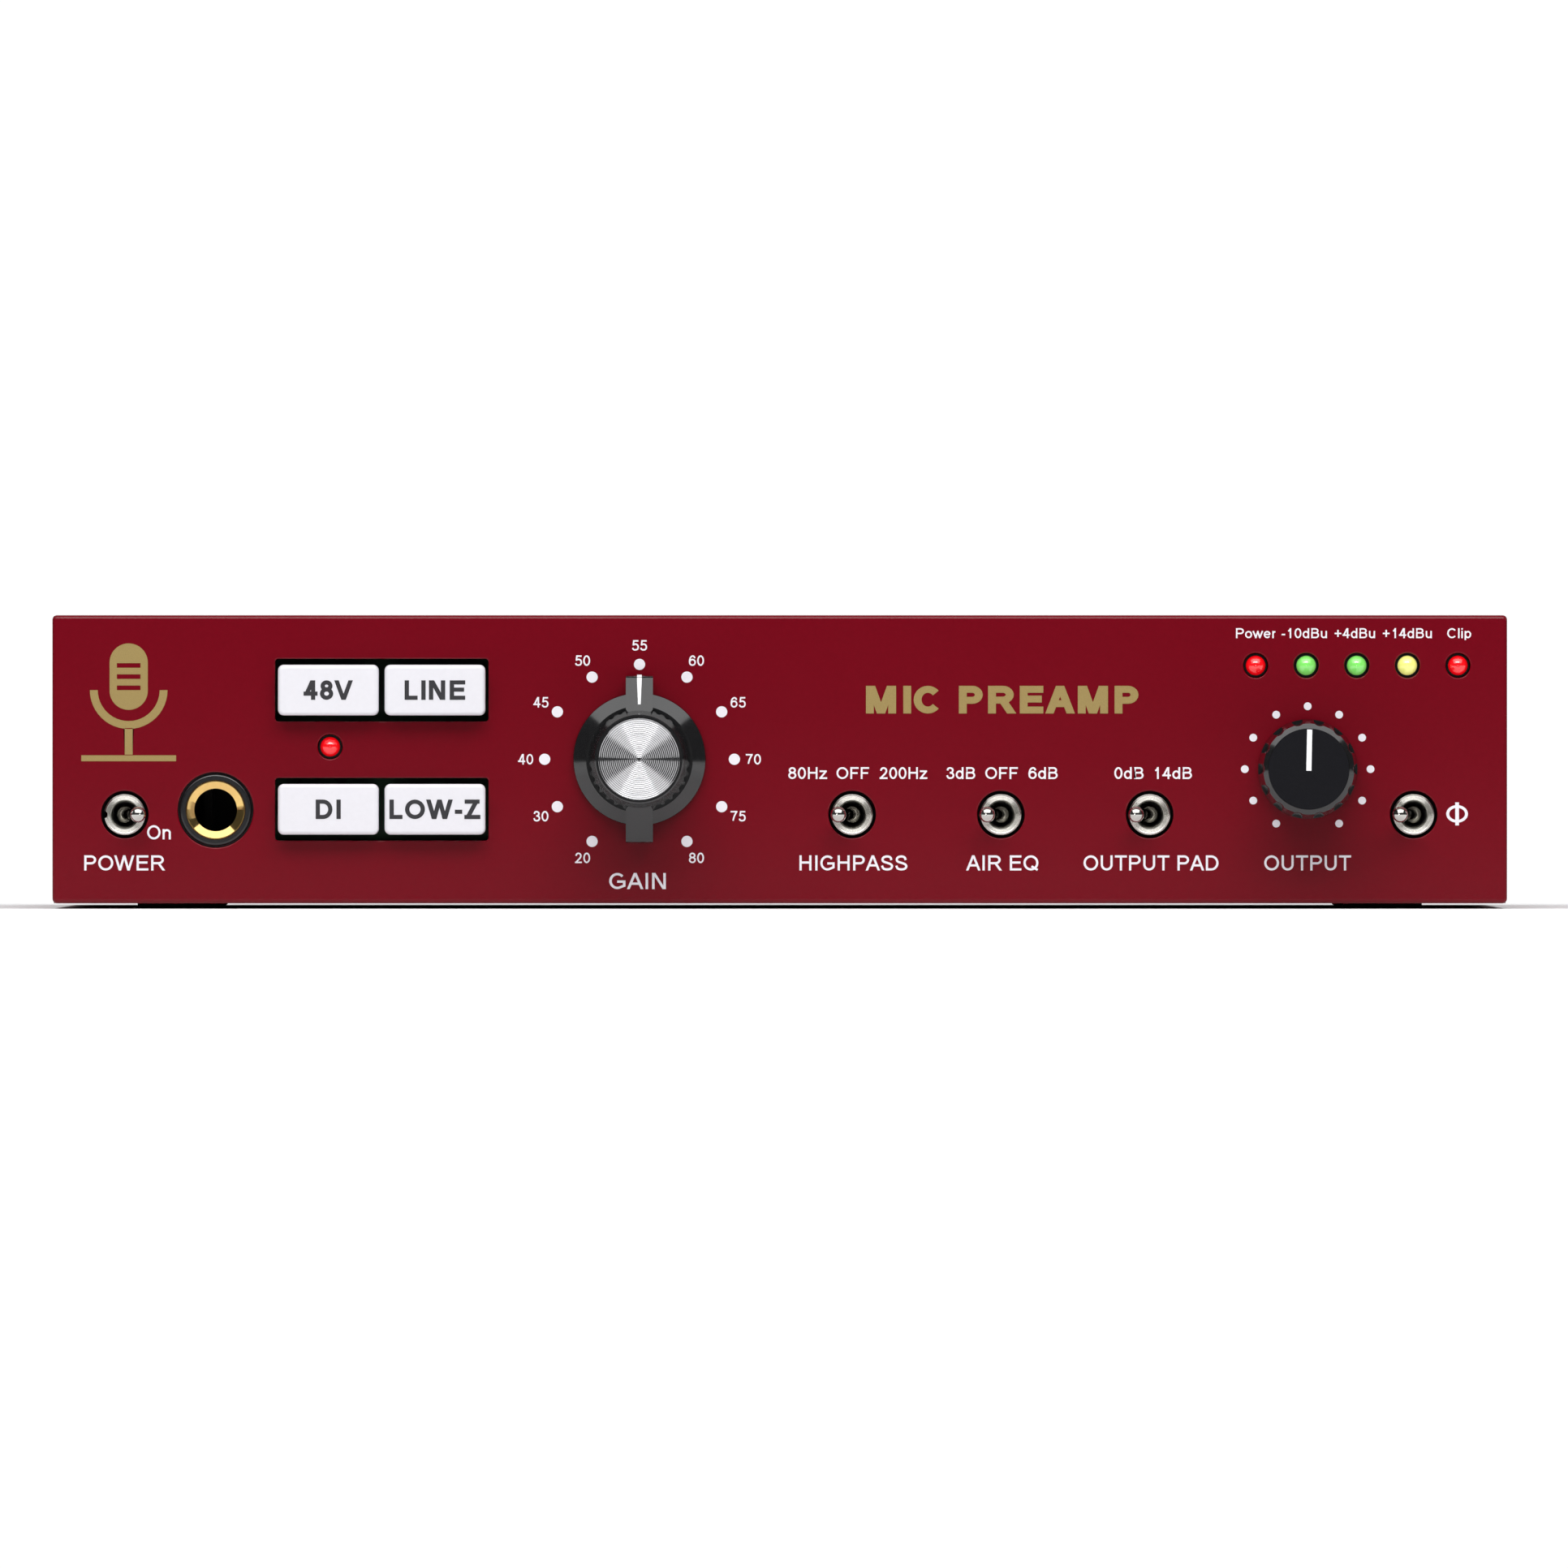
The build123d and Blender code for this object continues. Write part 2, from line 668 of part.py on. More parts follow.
def lamp(place):
    """A 3 mm lamp: domed lens with a rim at its base, and two legs to the control board."""
    foot = panel_face.from_local_coords(Vector(place[0], place[1], 0))
    with BuildPart() as piece:
        with BuildSketch(Plane(origin=foot, x_dir=(1, 0, 0), z_dir=(0, 0, -1))):
            with BuildLine():
                CenterArc((0, lamp_proud - lamp_radius), lamp_radius, 0, 90)
                Polyline(
                    (0, lamp_proud),
                    (0, -4.4),
                    (lamp_radius + 0.3, -4.4),
                    (lamp_radius + 0.3, -3.4),
                    (lamp_radius, -3.4),
                    (lamp_radius, lamp_proud - lamp_radius),
                )
            make_face()
        revolve(axis=Axis(foot, panel_face.z_dir))
        with BuildSketch(panel_face.offset(-4.0)):
            with Locations(place):
                with GridLocations(2.0, 0, 2, 1):
                    Rectangle(0.5, 0.5)
        extrude(amount=-(control_board_depth - 4.0) - 3.0)
    return piece.part


lamps = {
    "red_lamps": [phantom_led, meter_leds[0], meter_leds[4]],
    "green_lamps": [meter_leds[1], meter_leds[2]],
    "yellow_lamp": [meter_leds[3]],
}
for name, places in lamps.items():
    with BuildPart() as lamp_group:
        for place in places:
            add(lamp(place))
    save(lamp_group.part, name)

# =====================================================================
# Instrument jack on the front panel
# =====================================================================
plug_bore = 3.25
plug_depth = 32.0
jack_case_side = 15.0
sleeve_radius = 4.55
sleeve_length = 14.0
with BuildPart() as instrument_jack_body:
    with BuildSketch(panel_face.offset(-2.5)):
        with Locations((jack_x, jack_y)):
            RectangleRounded(jack_case_side, jack_case_side, 0.8)
    extrude(amount=-(plug_depth - 2.5))
    add(turned(panel_face, (jack_x, jack_y), level(-3, -0.1, jack_hole - 0.25)))
    fillet(instrument_jack_body.edges().sort_by(Axis.Y)[0], 0.45)
    add(
        turned(
            panel_face,
            (jack_x, jack_y),
            level(-plug_depth - 1, 1, plug_bore + 0.3),
        ),
        mode=Mode.SUBTRACT,
    )
    add(
        turned(panel_face, (jack_x, jack_y), level(-sleeve_length, 1, sleeve_radius)),
        mode=Mode.SUBTRACT,
    )
save(instrument_jack_body.part, "instrument_jack_body")

save(
    turned(
        panel_face,
        (jack_x, jack_y),
        [
            (plug_bore, -sleeve_length),
            (sleeve_radius, -sleeve_length),
            (sleeve_radius, -0.2),
            (sleeve_radius - 0.12, -0.08),
            (plug_bore + 1.05, -0.08),
            (plug_bore, -0.9),
        ],
    ),
    "instrument_jack_sleeve",
)

# =====================================================================
# Rear connectors
# =====================================================================
flange_sheet = 1.8
xlr_depth = 20.0
insert_depth = 16.0
xlr_wall = 1.9


def xlr_shell(x, bore, depth):
    """The metal shell of a panel connector: a flange on the rear panel and a barrel behind it."""
    with BuildPart() as shell:
        with BuildSketch(rear_face):
            with Locations((x, connector_y)):
                RectangleRounded(flange_width, flange_height, 2.5)
        extrude(amount=flange_sheet)
        chamfer(shell.faces().sort_by(Axis.Y)[-1].edges(), 0.4)
        with BuildSketch(rear_face):
            with Locations((x, connector_y)):
                Circle(xlr_bore + xlr_wall)
        extrude(amount=flange_sheet + 0.5)
        with BuildSketch(rear_face):
            with Locations((x, connector_y)):
                Circle(xlr_bore + xlr_wall)
        extrude(amount=-xlr_depth)
        with BuildSketch(rear_face.offset(flange_sheet + 2)):
            with Locations((x, connector_y)):
                Circle(bore)
        extrude(amount=-depth - flange_sheet - 2, mode=Mode.SUBTRACT)
        with BuildSketch(rear_face.offset(flange_sheet + 1)):
            with Locations(
                *[
                    (x + side * flange_screw_x, connector_y + side * flange_screw_y)
                    for side in (-1, 1)
                ]
            ):
                Circle(clear_hole)
        extrude(amount=-flange_sheet - 1, mode=Mode.SUBTRACT)
    return shell.part


with BuildPart() as mic_xlr_shell:
    add(xlr_shell(xlr_in_x, xlr_bore, insert_depth))
    with BuildSketch(rear_face.offset(flange_sheet + 2)):
        with Locations((xlr_in_x, latch_y)):
            Rectangle(latch_width + 0.6, latch_height + 0.6)
    extrude(amount=-12, mode=Mode.SUBTRACT)
save(mic_xlr_shell.part, "mic_xlr_shell")

with BuildPart() as mic_xlr_latch:
    with BuildSketch(rear_face.offset(flange_sheet + 1.9)):
        with Locations((xlr_in_x, latch_y)):
            RectangleRounded(latch_width, latch_height, 0.5)
    extrude(amount=-8.5)
    fillet(mic_xlr_latch.faces().sort_by(Axis.Y)[-1].edges(), 0.4)
save(mic_xlr_latch.part, "mic_xlr_latch")

insert_radius = 7.6
pin_circle = 3.9
pin_radius = 1.2
pin_angles = (150, 30, 270)
with BuildPart() as mic_xlr_insert:
    with BuildSketch(rear_face.offset(-insert_depth)):
        with Locations((xlr_in_x, connector_y)):
            Circle(insert_radius)
    extrude(amount=insert_depth + 0.4)
    with BuildSketch(rear_face.offset(1)):
        with Locations((xlr_in_x, connector_y)):
            for angle in pin_angles:
                with PolarLocations(pin_circle, 1, start_angle=angle):
                    Circle(pin_radius + 0.15)
    extrude(amount=-13, mode=Mode.SUBTRACT)
save(mic_xlr_insert.part, "mic_xlr_insert")

cup_radius = 8.2
cup_depth = 14.0
save(xlr_shell(xlr_out_x, cup_radius, cup_depth), "output_xlr_shell")

with BuildPart() as output_xlr_pins:
    with BuildSketch(rear_face.offset(-cup_depth)):
        with Locations((xlr_out_x, connector_y)):
            for angle in pin_angles:
                with PolarLocations(pin_circle, 1, start_angle=180 - angle):
                    Circle(pin_radius)
    extrude(amount=12.5)
    fillet(output_xlr_pins.edges().group_by(Axis.Y)[-1], 0.8)
save(output_xlr_pins.part, "output_xlr_pins")

with BuildPart() as connector_screws:
    with Locations(
        *[
            Plane(
                origin=rear_face.from_local_coords(Vector(x, y, flange_sheet)),
                z_dir=rear_face.z_dir,
            )
            for x, y in flange_screw_places
        ]
    ):
        add(pan_screw.part)
save(connector_screws.part, "connector_screws")

rear_jack_case_depth = 27.0
nut_sheet = 2.2
with BuildPart() as rear_jack_bodies:
    with BuildSketch(rear_face.offset(-skin)):
        with Locations(*rear_jack_places):
            RectangleRounded(jack_case_side, jack_case_side, 0.8)
    extrude(amount=-(rear_jack_case_depth - skin))
    with BuildSketch(rear_face.offset(-skin)):
        with Locations(*rear_jack_places):
            Circle(jack_nose)
    extrude(amount=skin + rear_reach)
    with BuildSketch(rear_face.offset(rear_reach)):
        with Locations(*rear_jack_places):
            Circle(plug_bore)
    extrude(amount=-(rear_reach + rear_jack_case_depth), mode=Mode.SUBTRACT)
save(rear_jack_bodies.part, "rear_jack_bodies")

with BuildPart() as rear_jack_nuts:
    with BuildSketch(rear_face):
        with Locations(*rear_jack_places):
            Circle(6.6)
            Circle(jack_nose + 0.05, mode=Mode.SUBTRACT)
    extrude(amount=0.6)
    with BuildSketch(rear_face.offset(0.6)):
        with Locations(*rear_jack_places):
            RegularPolygon(6.0, 6, major_radius=False)
            Circle(jack_nose + 0.05, mode=Mode.SUBTRACT)
    extrude(amount=nut_sheet)
save(rear_jack_nuts.part, "rear_jack_nuts")

with BuildPart() as power_inlet:
    add(turned(rear_face, (inlet_x, connector_y), level(0, 2.4, 7.2, 3.1)))
    add(turned(rear_face, (inlet_x, connector_y), level(-14, 0.5, 5.5, 3.1)))
    add(turned(rear_face, (inlet_x, connector_y), level(-15, -11, 5.5)))
    add(turned(rear_face, (inlet_x, connector_y), level(-12, 1.6, 1.05)))
    fillet(power_inlet.faces().sort_by(Axis.Y)[-1].edges().sort_by(SortBy.LENGTH)[-1], 0.6)
save(power_inlet.part, "power_inlet")

# =====================================================================
# Circuit boards and what stands on them
# =====================================================================
control_board_width, control_board_height = 208.0, 37.0
with BuildPart() as control_board:
    with BuildSketch(panel_face.offset(-control_board_depth)):
        with Locations((0, 0.9)):
            Rectangle(control_board_width, control_board_height)
        with Locations((jack_x, jack_y)):
            Rectangle(jack_case_side + 0.6, jack_case_side + 0.6, mode=Mode.SUBTRACT)
        with Locations((gain_x, gain_y)):
            Circle(shaft_radius + 0.8, mode=Mode.SUBTRACT)
        with Locations(*[(x, toggle_row) for x in toggles.values()]):
            with GridLocations(4.8, 4.8, 2, 3):
                Rectangle(0.8, 1.4, mode=Mode.SUBTRACT)
        with Locations(*buttons.values()):
            with GridLocations(5.0, 2.4, 2, 3):
                Rectangle(0.7, 1.0, mode=Mode.SUBTRACT)
        with Locations(phantom_led, *meter_leds):
            with GridLocations(2.0, 0, 2, 1):
                Rectangle(0.7, 0.7, mode=Mode.SUBTRACT)
    extrude(amount=-board_sheet)
save(control_board.part, "control_board")

with BuildPart() as main_board:
    with BuildSketch(Plane.XY.offset(board_z)):
        with Locations((0, main_board_y)):
            Rectangle(main_board_width, main_board_length)
        with Locations((60, main_board_y - main_board_length / 2)):
            Rectangle(tongue_width, 2 * tongue_length)
        with Locations(*standoff_places):
            Circle(clear_hole, mode=Mode.SUBTRACT)
    extrude(amount=board_sheet)
save(main_board.part, "main_board")

with BuildPart() as board_standoffs:
    with BuildSketch(Plane.XY.offset(floor_z)):
        with Locations(*standoff_places):
            RegularPolygon(3.0, 6)
            Circle(tapped, mode=Mode.SUBTRACT)
    extrude(amount=standoff_height)
save(board_standoffs.part, "board_standoffs")

with BuildPart() as short_screw:
    Cylinder(2.6, 1.2, align=(Align.CENTER, Align.CENTER, Align.MIN))
    with BuildSketch(Plane.XY.offset(1.2)):
        RegularPolygon(socket, 6)
    extrude(amount=-0.7, mode=Mode.SUBTRACT)
    Cylinder(shank, 3.8, align=(Align.CENTER, Align.CENTER, Align.MAX))

with BuildPart() as board_screws:
    with Locations(
        *[Plane(origin=(x, y, board_top_z), z_dir=(0, 0, 1)) for x, y in standoff_places],
        *[Plane(origin=(x, y, tray_bottom_z), z_dir=(0, 0, -1)) for x, y in standoff_places],
    ):
        add(short_screw.part)
save(board_screws.part, "board_screws")


def on_board(depth):
    """A plane that lies on the main board, its origin that far behind its front edge."""
    return Plane.XY.offset(board_top_z).move(
        Location((0, main_board_y - main_board_length / 2 + depth, 0))
    )


# Shielded input and line transformers, close to the sockets they serve.
with BuildPart() as input_transformers:
    with BuildSketch(on_board(84)):
        with Locations((66, 0), (34, 0)):
            RectangleRounded(24, 30, 3)
    extrude(amount=26)
    fillet(input_transformers.edges().group_by(Axis.Z)[-1], 1.2)
save(input_transformers.part, "input_transformers")

# Output transformer: a laminated core with three legs, and a bobbin round the middle leg.
core_width, core_depth, core_height, core_leg = 42.0, 18.0, 28.0, 7.0
output_transformer_x = -42.0
with BuildPart() as output_transformer_core:
    with BuildSketch(on_board(58).offset(1)):
        with Locations((output_transformer_x, 0)):
            Rectangle(core_width, core_depth)
    extrude(amount=core_height)
    with BuildSketch(
        Plane.XZ.offset(-(main_board_y - main_board_length / 2 + 58 - core_depth))
    ):
        with Locations((output_transformer_x, board_top_z + 1 + core_height / 2)):
            with GridLocations(core_width / 2 - core_leg / 4, 0, 2, 1):
                Rectangle(core_width / 2 - 1.5 * core_leg - 1, core_height - 2 * core_leg + 2)
    extrude(amount=-2 * core_depth, mode=Mode.SUBTRACT)
save(output_transformer_core.part, "output_transformer_core")

# The bobbin fills the core's two windows and wraps round its middle leg.
window_gap = core_width / 2 - 1.5 * core_leg - 1
leg_half = (core_width / 2 - core_leg / 4) / 2 - window_gap / 2
with BuildPart() as output_transformer_coil:
    with BuildSketch(on_board(58).offset(1 + core_leg - 1 + 0.3)):
        with Locations((output_transformer_x, 0)):
            RectangleRounded(2 * (leg_half + window_gap) - 0.6, core_depth + 14, 4)
            Rectangle(2 * leg_half + 0.4, core_depth + 0.6, mode=Mode.SUBTRACT)
    extrude(amount=core_height - 2 * core_leg + 2 - 0.6)
save(output_transformer_coil.part, "output_transformer_coil")

# Reservoir capacitors by the power inlet.
with BuildPart() as reservoir_capacitors:
    with BuildSketch(on_board(72)):
        with Locations((-86, 0)):
            with GridLocations(0, 22, 1, 2):
                Circle(8.0)
        with Locations((-66, 12)):
            Circle(6.5)
    extrude(amount=25)
    fillet(reservoir_capacitors.edges().group_by(Axis.Z)[-1], 1.0)
save(reservoir_capacitors.part, "reservoir_capacitors")

with BuildPart() as signal_capacitors:
    with BuildSketch(on_board(32)):
        with Locations((40, 0)):
            with GridLocations(16, 18, 6, 2):
                Circle(4.0)
    extrude(amount=11.5)
    fillet(signal_capacitors.edges().group_by(Axis.Z)[-1], 0.6)
save(signal_capacitors.part, "signal_capacitors")

with BuildPart() as film_capacitors:
    with BuildSketch(on_board(10)):
        with Locations((50, 0)):
            with GridLocations(17, 0, 5, 1):
                RectangleRounded(13, 5, 0.5)
    extrude(amount=10)
    fillet(film_capacitors.edges().group_by(Axis.Z)[-1], 0.5)
save(film_capacitors.part, "film_capacitors")

with BuildPart() as relays:
    with BuildSketch(on_board(60)):
        with Locations((14, 0)):
            with GridLocations(14, 0, 3, 1):
                Rectangle(9.8, 15)
        with Locations((80, 0)):
            with GridLocations(14, 0, 3, 1):
                Rectangle(9.8, 15)
    extrude(amount=10)
    fillet(relays.edges().filter_by(Axis.Z), 0.5)
save(relays.part, "relays")

# Voltage regulators bolted to a finned heatsink.
sink_width, sink_height, sink_y = 60.0, 24.0, 24.0
fin_count, fin_pitch = 11, 5.4
with BuildPart() as regulator_heatsink:
    with BuildSketch(on_board(sink_y).offset(0.4)):
        with Locations((-66, 0)):
            Rectangle(sink_width, 3.0)
        with Locations((-66, -6.5)):
            with GridLocations(fin_pitch, 0, fin_count, 1):
                Rectangle(1.3, 12)
    extrude(amount=sink_height)
save(regulator_heatsink.part, "regulator_heatsink")

with BuildPart() as regulators:
    with BuildSketch(on_board(sink_y).offset(6)):
        with Locations((-66, 1.5 + 2.3)):
            with GridLocations(18, 0, 3, 1):
                Rectangle(10, 4.6)
    extrude(amount=9.2)
    with BuildSketch(on_board(sink_y).offset(6)):
        with Locations((-66, 1.5 + 0.65)):
            with GridLocations(18, 0, 3, 1):
                Rectangle(10, 1.3)
    extrude(amount=15.5)
    with BuildSketch(on_board(sink_y)):
        with Locations((-66, 1.5 + 2.6)):
            with GridLocations(18, 0, 3, 1):
                with GridLocations(2.54, 0, 3, 1):
                    Rectangle(0.8, 0.6)
    extrude(amount=6.2)
save(regulators.part, "regulators")

# Two right-angle headers stand on the main board's tongue and plug into the control board.
board_back = control_board_depth + board_sheet
with BuildPart() as board_headers:
    with BuildSketch(panel_face.offset(-board_back)):
        with Locations((45, board_top_z - mid_z + 2.5)):
            Rectangle(15, 5)
        with Locations((76, board_top_z - mid_z + 2.5)):
            Rectangle(26, 5)
    extrude(amount=-8.5)
save(board_headers.part, "board_headers")
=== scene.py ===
"""Looks of a half-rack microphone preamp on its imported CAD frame. Lengths are in metres."""

import json
import math

import bmesh
import bpy
from mathutils import Matrix, Vector


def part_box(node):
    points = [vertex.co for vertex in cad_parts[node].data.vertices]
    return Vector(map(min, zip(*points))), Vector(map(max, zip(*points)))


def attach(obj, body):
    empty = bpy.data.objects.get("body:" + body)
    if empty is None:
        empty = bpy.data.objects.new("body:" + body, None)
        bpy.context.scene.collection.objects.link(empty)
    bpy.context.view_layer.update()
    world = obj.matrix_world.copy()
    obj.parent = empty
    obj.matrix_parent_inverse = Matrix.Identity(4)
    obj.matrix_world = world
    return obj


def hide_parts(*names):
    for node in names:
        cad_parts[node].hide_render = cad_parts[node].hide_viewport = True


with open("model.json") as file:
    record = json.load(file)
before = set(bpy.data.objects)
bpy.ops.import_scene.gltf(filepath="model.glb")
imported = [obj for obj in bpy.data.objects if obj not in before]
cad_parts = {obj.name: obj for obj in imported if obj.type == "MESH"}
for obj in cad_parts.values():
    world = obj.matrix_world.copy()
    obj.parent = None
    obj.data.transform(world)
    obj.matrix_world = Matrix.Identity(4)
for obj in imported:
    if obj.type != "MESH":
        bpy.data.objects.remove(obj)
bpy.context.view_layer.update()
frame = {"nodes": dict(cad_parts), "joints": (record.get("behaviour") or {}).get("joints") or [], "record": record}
nodes = frame["nodes"]
mm = 0.001
front_fill = 0.9278  # share of the picture's width that the panel takes

panel_low, panel_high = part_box("front_panel")
face_y = panel_low.y
mid_z = (panel_low.z + panel_high.z) / 2
panel_width = panel_high.x - panel_low.x
rear_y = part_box("rear_panel")[1].y
joint_at = {j["name"]: Vector(j["pos_m"]) for j in frame["joints"] if "pos_m" in j}
mount_at = {m["name"]: Vector(m["pos_m"]) for m in frame["record"]["mounts"]}


# ---------------------------------------------------------------- camera, floor and light
def add_camera():
    """Level with the panel and far away, so the front is seen straight on."""
    distance = 6.0
    data = bpy.data.cameras.new("camera")
    data.sensor_width = 36.0
    data.lens = data.sensor_width * distance / (panel_width / front_fill)
    data.clip_end = 50.0
    camera = bpy.data.objects.new("camera", data)
    aside, below = 0.65 * mm, 3.76 * mm
    camera.location = (aside, face_y - distance, mid_z - below)
    camera.rotation_euler = (math.radians(90), 0, 0)
    bpy.context.scene.collection.objects.link(camera)
    bpy.context.scene.camera = camera


def add_softbox(name, place, target, width, height, radiance):
    """A rectangular light that faces its target; radiance is the brightness of its face."""
    data = bpy.data.lights.new(name, "AREA")
    data.shape = "RECTANGLE"
    data.size, data.size_y = width, height
    data.energy = radiance * math.pi * width * height
    light = bpy.data.objects.new(name, data)
    light.location = place
    aim = Vector(target) - Vector(place)
    light.rotation_euler = aim.to_track_quat("-Z", "Y").to_euler()
    light.visible_camera = False
    bpy.context.scene.collection.objects.link(light)


def add_lights():
    """A wide key with a brighter core over the front, and softer lights behind and beside."""
    panel = (0, face_y, mid_z)
    add_softbox("key", (0.0, face_y - 0.52, 0.86), panel, 1.95, 1.05, 1.85)
    add_softbox("key_core", (0.0, face_y - 0.74, 0.72), panel, 0.85, 0.36, 5.9)
    add_softbox("back", (0.0, 0.75, 0.85), (0, 0.0, 0.02), 1.2, 0.7, 2.2)
    for side in (-1, 1):
        add_softbox(f"side_{side}", (1.3 * side, 0.55, 0.55), (0, 0.05, 0.02), 0.8, 0.5, 1.6)


def add_world():
    """White to the camera, dim to everything else, so gloss shows the softboxes."""
    backdrop, world_fill = 1.05, 0.06
    world = bpy.data.worlds.new("studio")
    bpy.context.scene.world = world
    world.use_nodes = True
    tree = world.node_tree
    tree.nodes.clear()
    seen = tree.nodes.new("ShaderNodeBackground")
    seen.inputs["Color"].default_value = (1, 1, 1, 1)
    seen.inputs["Strength"].default_value = backdrop
    fill = tree.nodes.new("ShaderNodeBackground")
    fill.inputs["Color"].default_value = (0.95, 0.97, 1.0, 1)
    fill.inputs["Strength"].default_value = world_fill
    path = tree.nodes.new("ShaderNodeLightPath")
    mix = tree.nodes.new("ShaderNodeMixShader")
    out = tree.nodes.new("ShaderNodeOutputWorld")
    tree.links.new(path.outputs["Is Camera Ray"], mix.inputs[0])
    tree.links.new(fill.outputs[0], mix.inputs[1])
    tree.links.new(seen.outputs[0], mix.inputs[2])
    tree.links.new(mix.outputs[0], out.inputs["Surface"])


def add_floor():
    """A round white floor: matte near the object, and bright further out like a lit sweep."""
    floor_radius, matte_to, bright_from, glow = 0.6, 0.14, 0.32, 1.1
    mesh = bpy.data.meshes.new("floor")
    shape = bmesh.new()
    bmesh.ops.create_circle(shape, cap_ends=True, segments=96, radius=floor_radius)
    shape.to_mesh(mesh)
    floor = bpy.data.objects.new("floor", mesh)
    bpy.context.scene.collection.objects.link(floor)
    made, tree, shader = principled("floor_white")
    shader.inputs["Roughness"].default_value = 0.8
    grain = noise_of(tree, 9)
    white = ramp_of(tree, grain, (0.88, 0.88, 0.89), (0.9, 0.9, 0.91))
    tree.links.new(white, shader.inputs["Base Color"])
    place = tree.nodes.new("ShaderNodeTexCoord")
    reach = tree.nodes.new("ShaderNodeVectorMath")
    reach.operation = "LENGTH"
    fade = tree.nodes.new("ShaderNodeMapRange")
    fade.interpolation_type = "SMOOTHSTEP"
    fade.inputs["From Min"].default_value, fade.inputs["From Max"].default_value = matte_to, bright_from
    tree.links.new(place.outputs["Object"], reach.inputs[0])
    tree.links.new(reach.outputs["Value"], fade.inputs["Value"])
    bright = tree.nodes.new("ShaderNodeEmission")
    bright.inputs["Strength"].default_value = glow
    mix = tree.nodes.new("ShaderNodeMixShader")
    tree.links.new(fade.outputs["Result"], mix.inputs[0])
    tree.links.new(shader.outputs[0], mix.inputs[1])
    tree.links.new(bright.outputs[0], mix.inputs[2])
    tree.links.new(mix.outputs[0], tree.nodes["Material Output"].inputs["Surface"])
    floor.data.materials.append(made)


# ---------------------------------------------------------------- materials
def principled(name):
    """A new material and its Principled shader."""
    made = bpy.data.materials.new(name)
    made.use_nodes = True
    return made, made.node_tree, made.node_tree.nodes["Principled BSDF"]


def noise_of(tree, scale, detail=3.0, stretch=(1, 1, 1)):
    """A noise in the object's own metres; scale is in features per metre."""
    place = tree.nodes.new("ShaderNodeTexCoord")
    move = tree.nodes.new("ShaderNodeMapping")
    move.inputs["Scale"].default_value = stretch
    noise = tree.nodes.new("ShaderNodeTexNoise")
    noise.inputs["Scale"].default_value = scale
    noise.inputs["Detail"].default_value = detail
    tree.links.new(place.outputs["Object"], move.inputs["Vector"])
    tree.links.new(move.outputs["Vector"], noise.inputs["Vector"])
    return noise.outputs["Fac"]


def ramp_of(tree, value, low, high, start=0.3, end=0.7):
    """Turns a 0 to 1 value into a colour between low and high."""
    ramp = tree.nodes.new("ShaderNodeValToRGB")
    ramp.color_ramp.elements[0].position, ramp.color_ramp.elements[1].position = start, end
    ramp.color_ramp.elements[0].color = (*low, 1)
    ramp.color_ramp.elements[1].color = (*high, 1)
    tree.links.new(value, ramp.inputs["Fac"])
    return ramp.outputs["Color"]


def range_of(tree, value, low, high):
    """Maps a noise's useful span to low..high."""
    span = tree.nodes.new("ShaderNodeMapRange")
    span.inputs["From Min"].default_value, span.inputs["From Max"].default_value = 0.3, 0.7
    span.inputs["To Min"].default_value, span.inputs["To Max"].default_value = low, high
    tree.links.new(value, span.inputs["Value"])
    return span.outputs["Result"]


def add_bump(tree, shader, height, depth):
    """Bumps the surface by a height field; depth is in metres."""
    bump = tree.nodes.new("ShaderNodeBump")
    bump.inputs["Strength"].default_value = 1.0
    bump.inputs["Distance"].default_value = depth
    tree.links.new(height, bump.inputs["Height"])
    tree.links.new(bump.outputs["Normal"], shader.inputs["Normal"])


def finish_of(name, colour, roughness, metallic=0.0, spread=0.08, scale=2500, bump=0.0, stretch=(1, 1, 1),
              coat=0.0, coat_ior=1.5, specular=0.5):
    """A finish whose colour and gloss vary a little with a noise, and whose surface may be bumped."""
    made, tree, shader = principled(name)
    fine = noise_of(tree, scale, 4.0, stretch)
    low = [c * (1 - spread) for c in colour]
    high = [min(1.0, c * (1 + spread)) for c in colour]
    tree.links.new(ramp_of(tree, fine, low, high), shader.inputs["Base Color"])
    wear = noise_of(tree, scale / 25)
    tree.links.new(range_of(tree, wear, roughness * 0.96, roughness * 1.04), shader.inputs["Roughness"])
    shader.inputs["Metallic"].default_value = metallic
    shader.inputs["Specular IOR Level"].default_value = specular
    if coat:
        shader.inputs["Coat Weight"].default_value = coat
        shader.inputs["Coat Roughness"].default_value = 0.09
        shader.inputs["Coat IOR"].default_value = coat_ior
    if bump:
        add_bump(tree, shader, fine, bump)
    return made


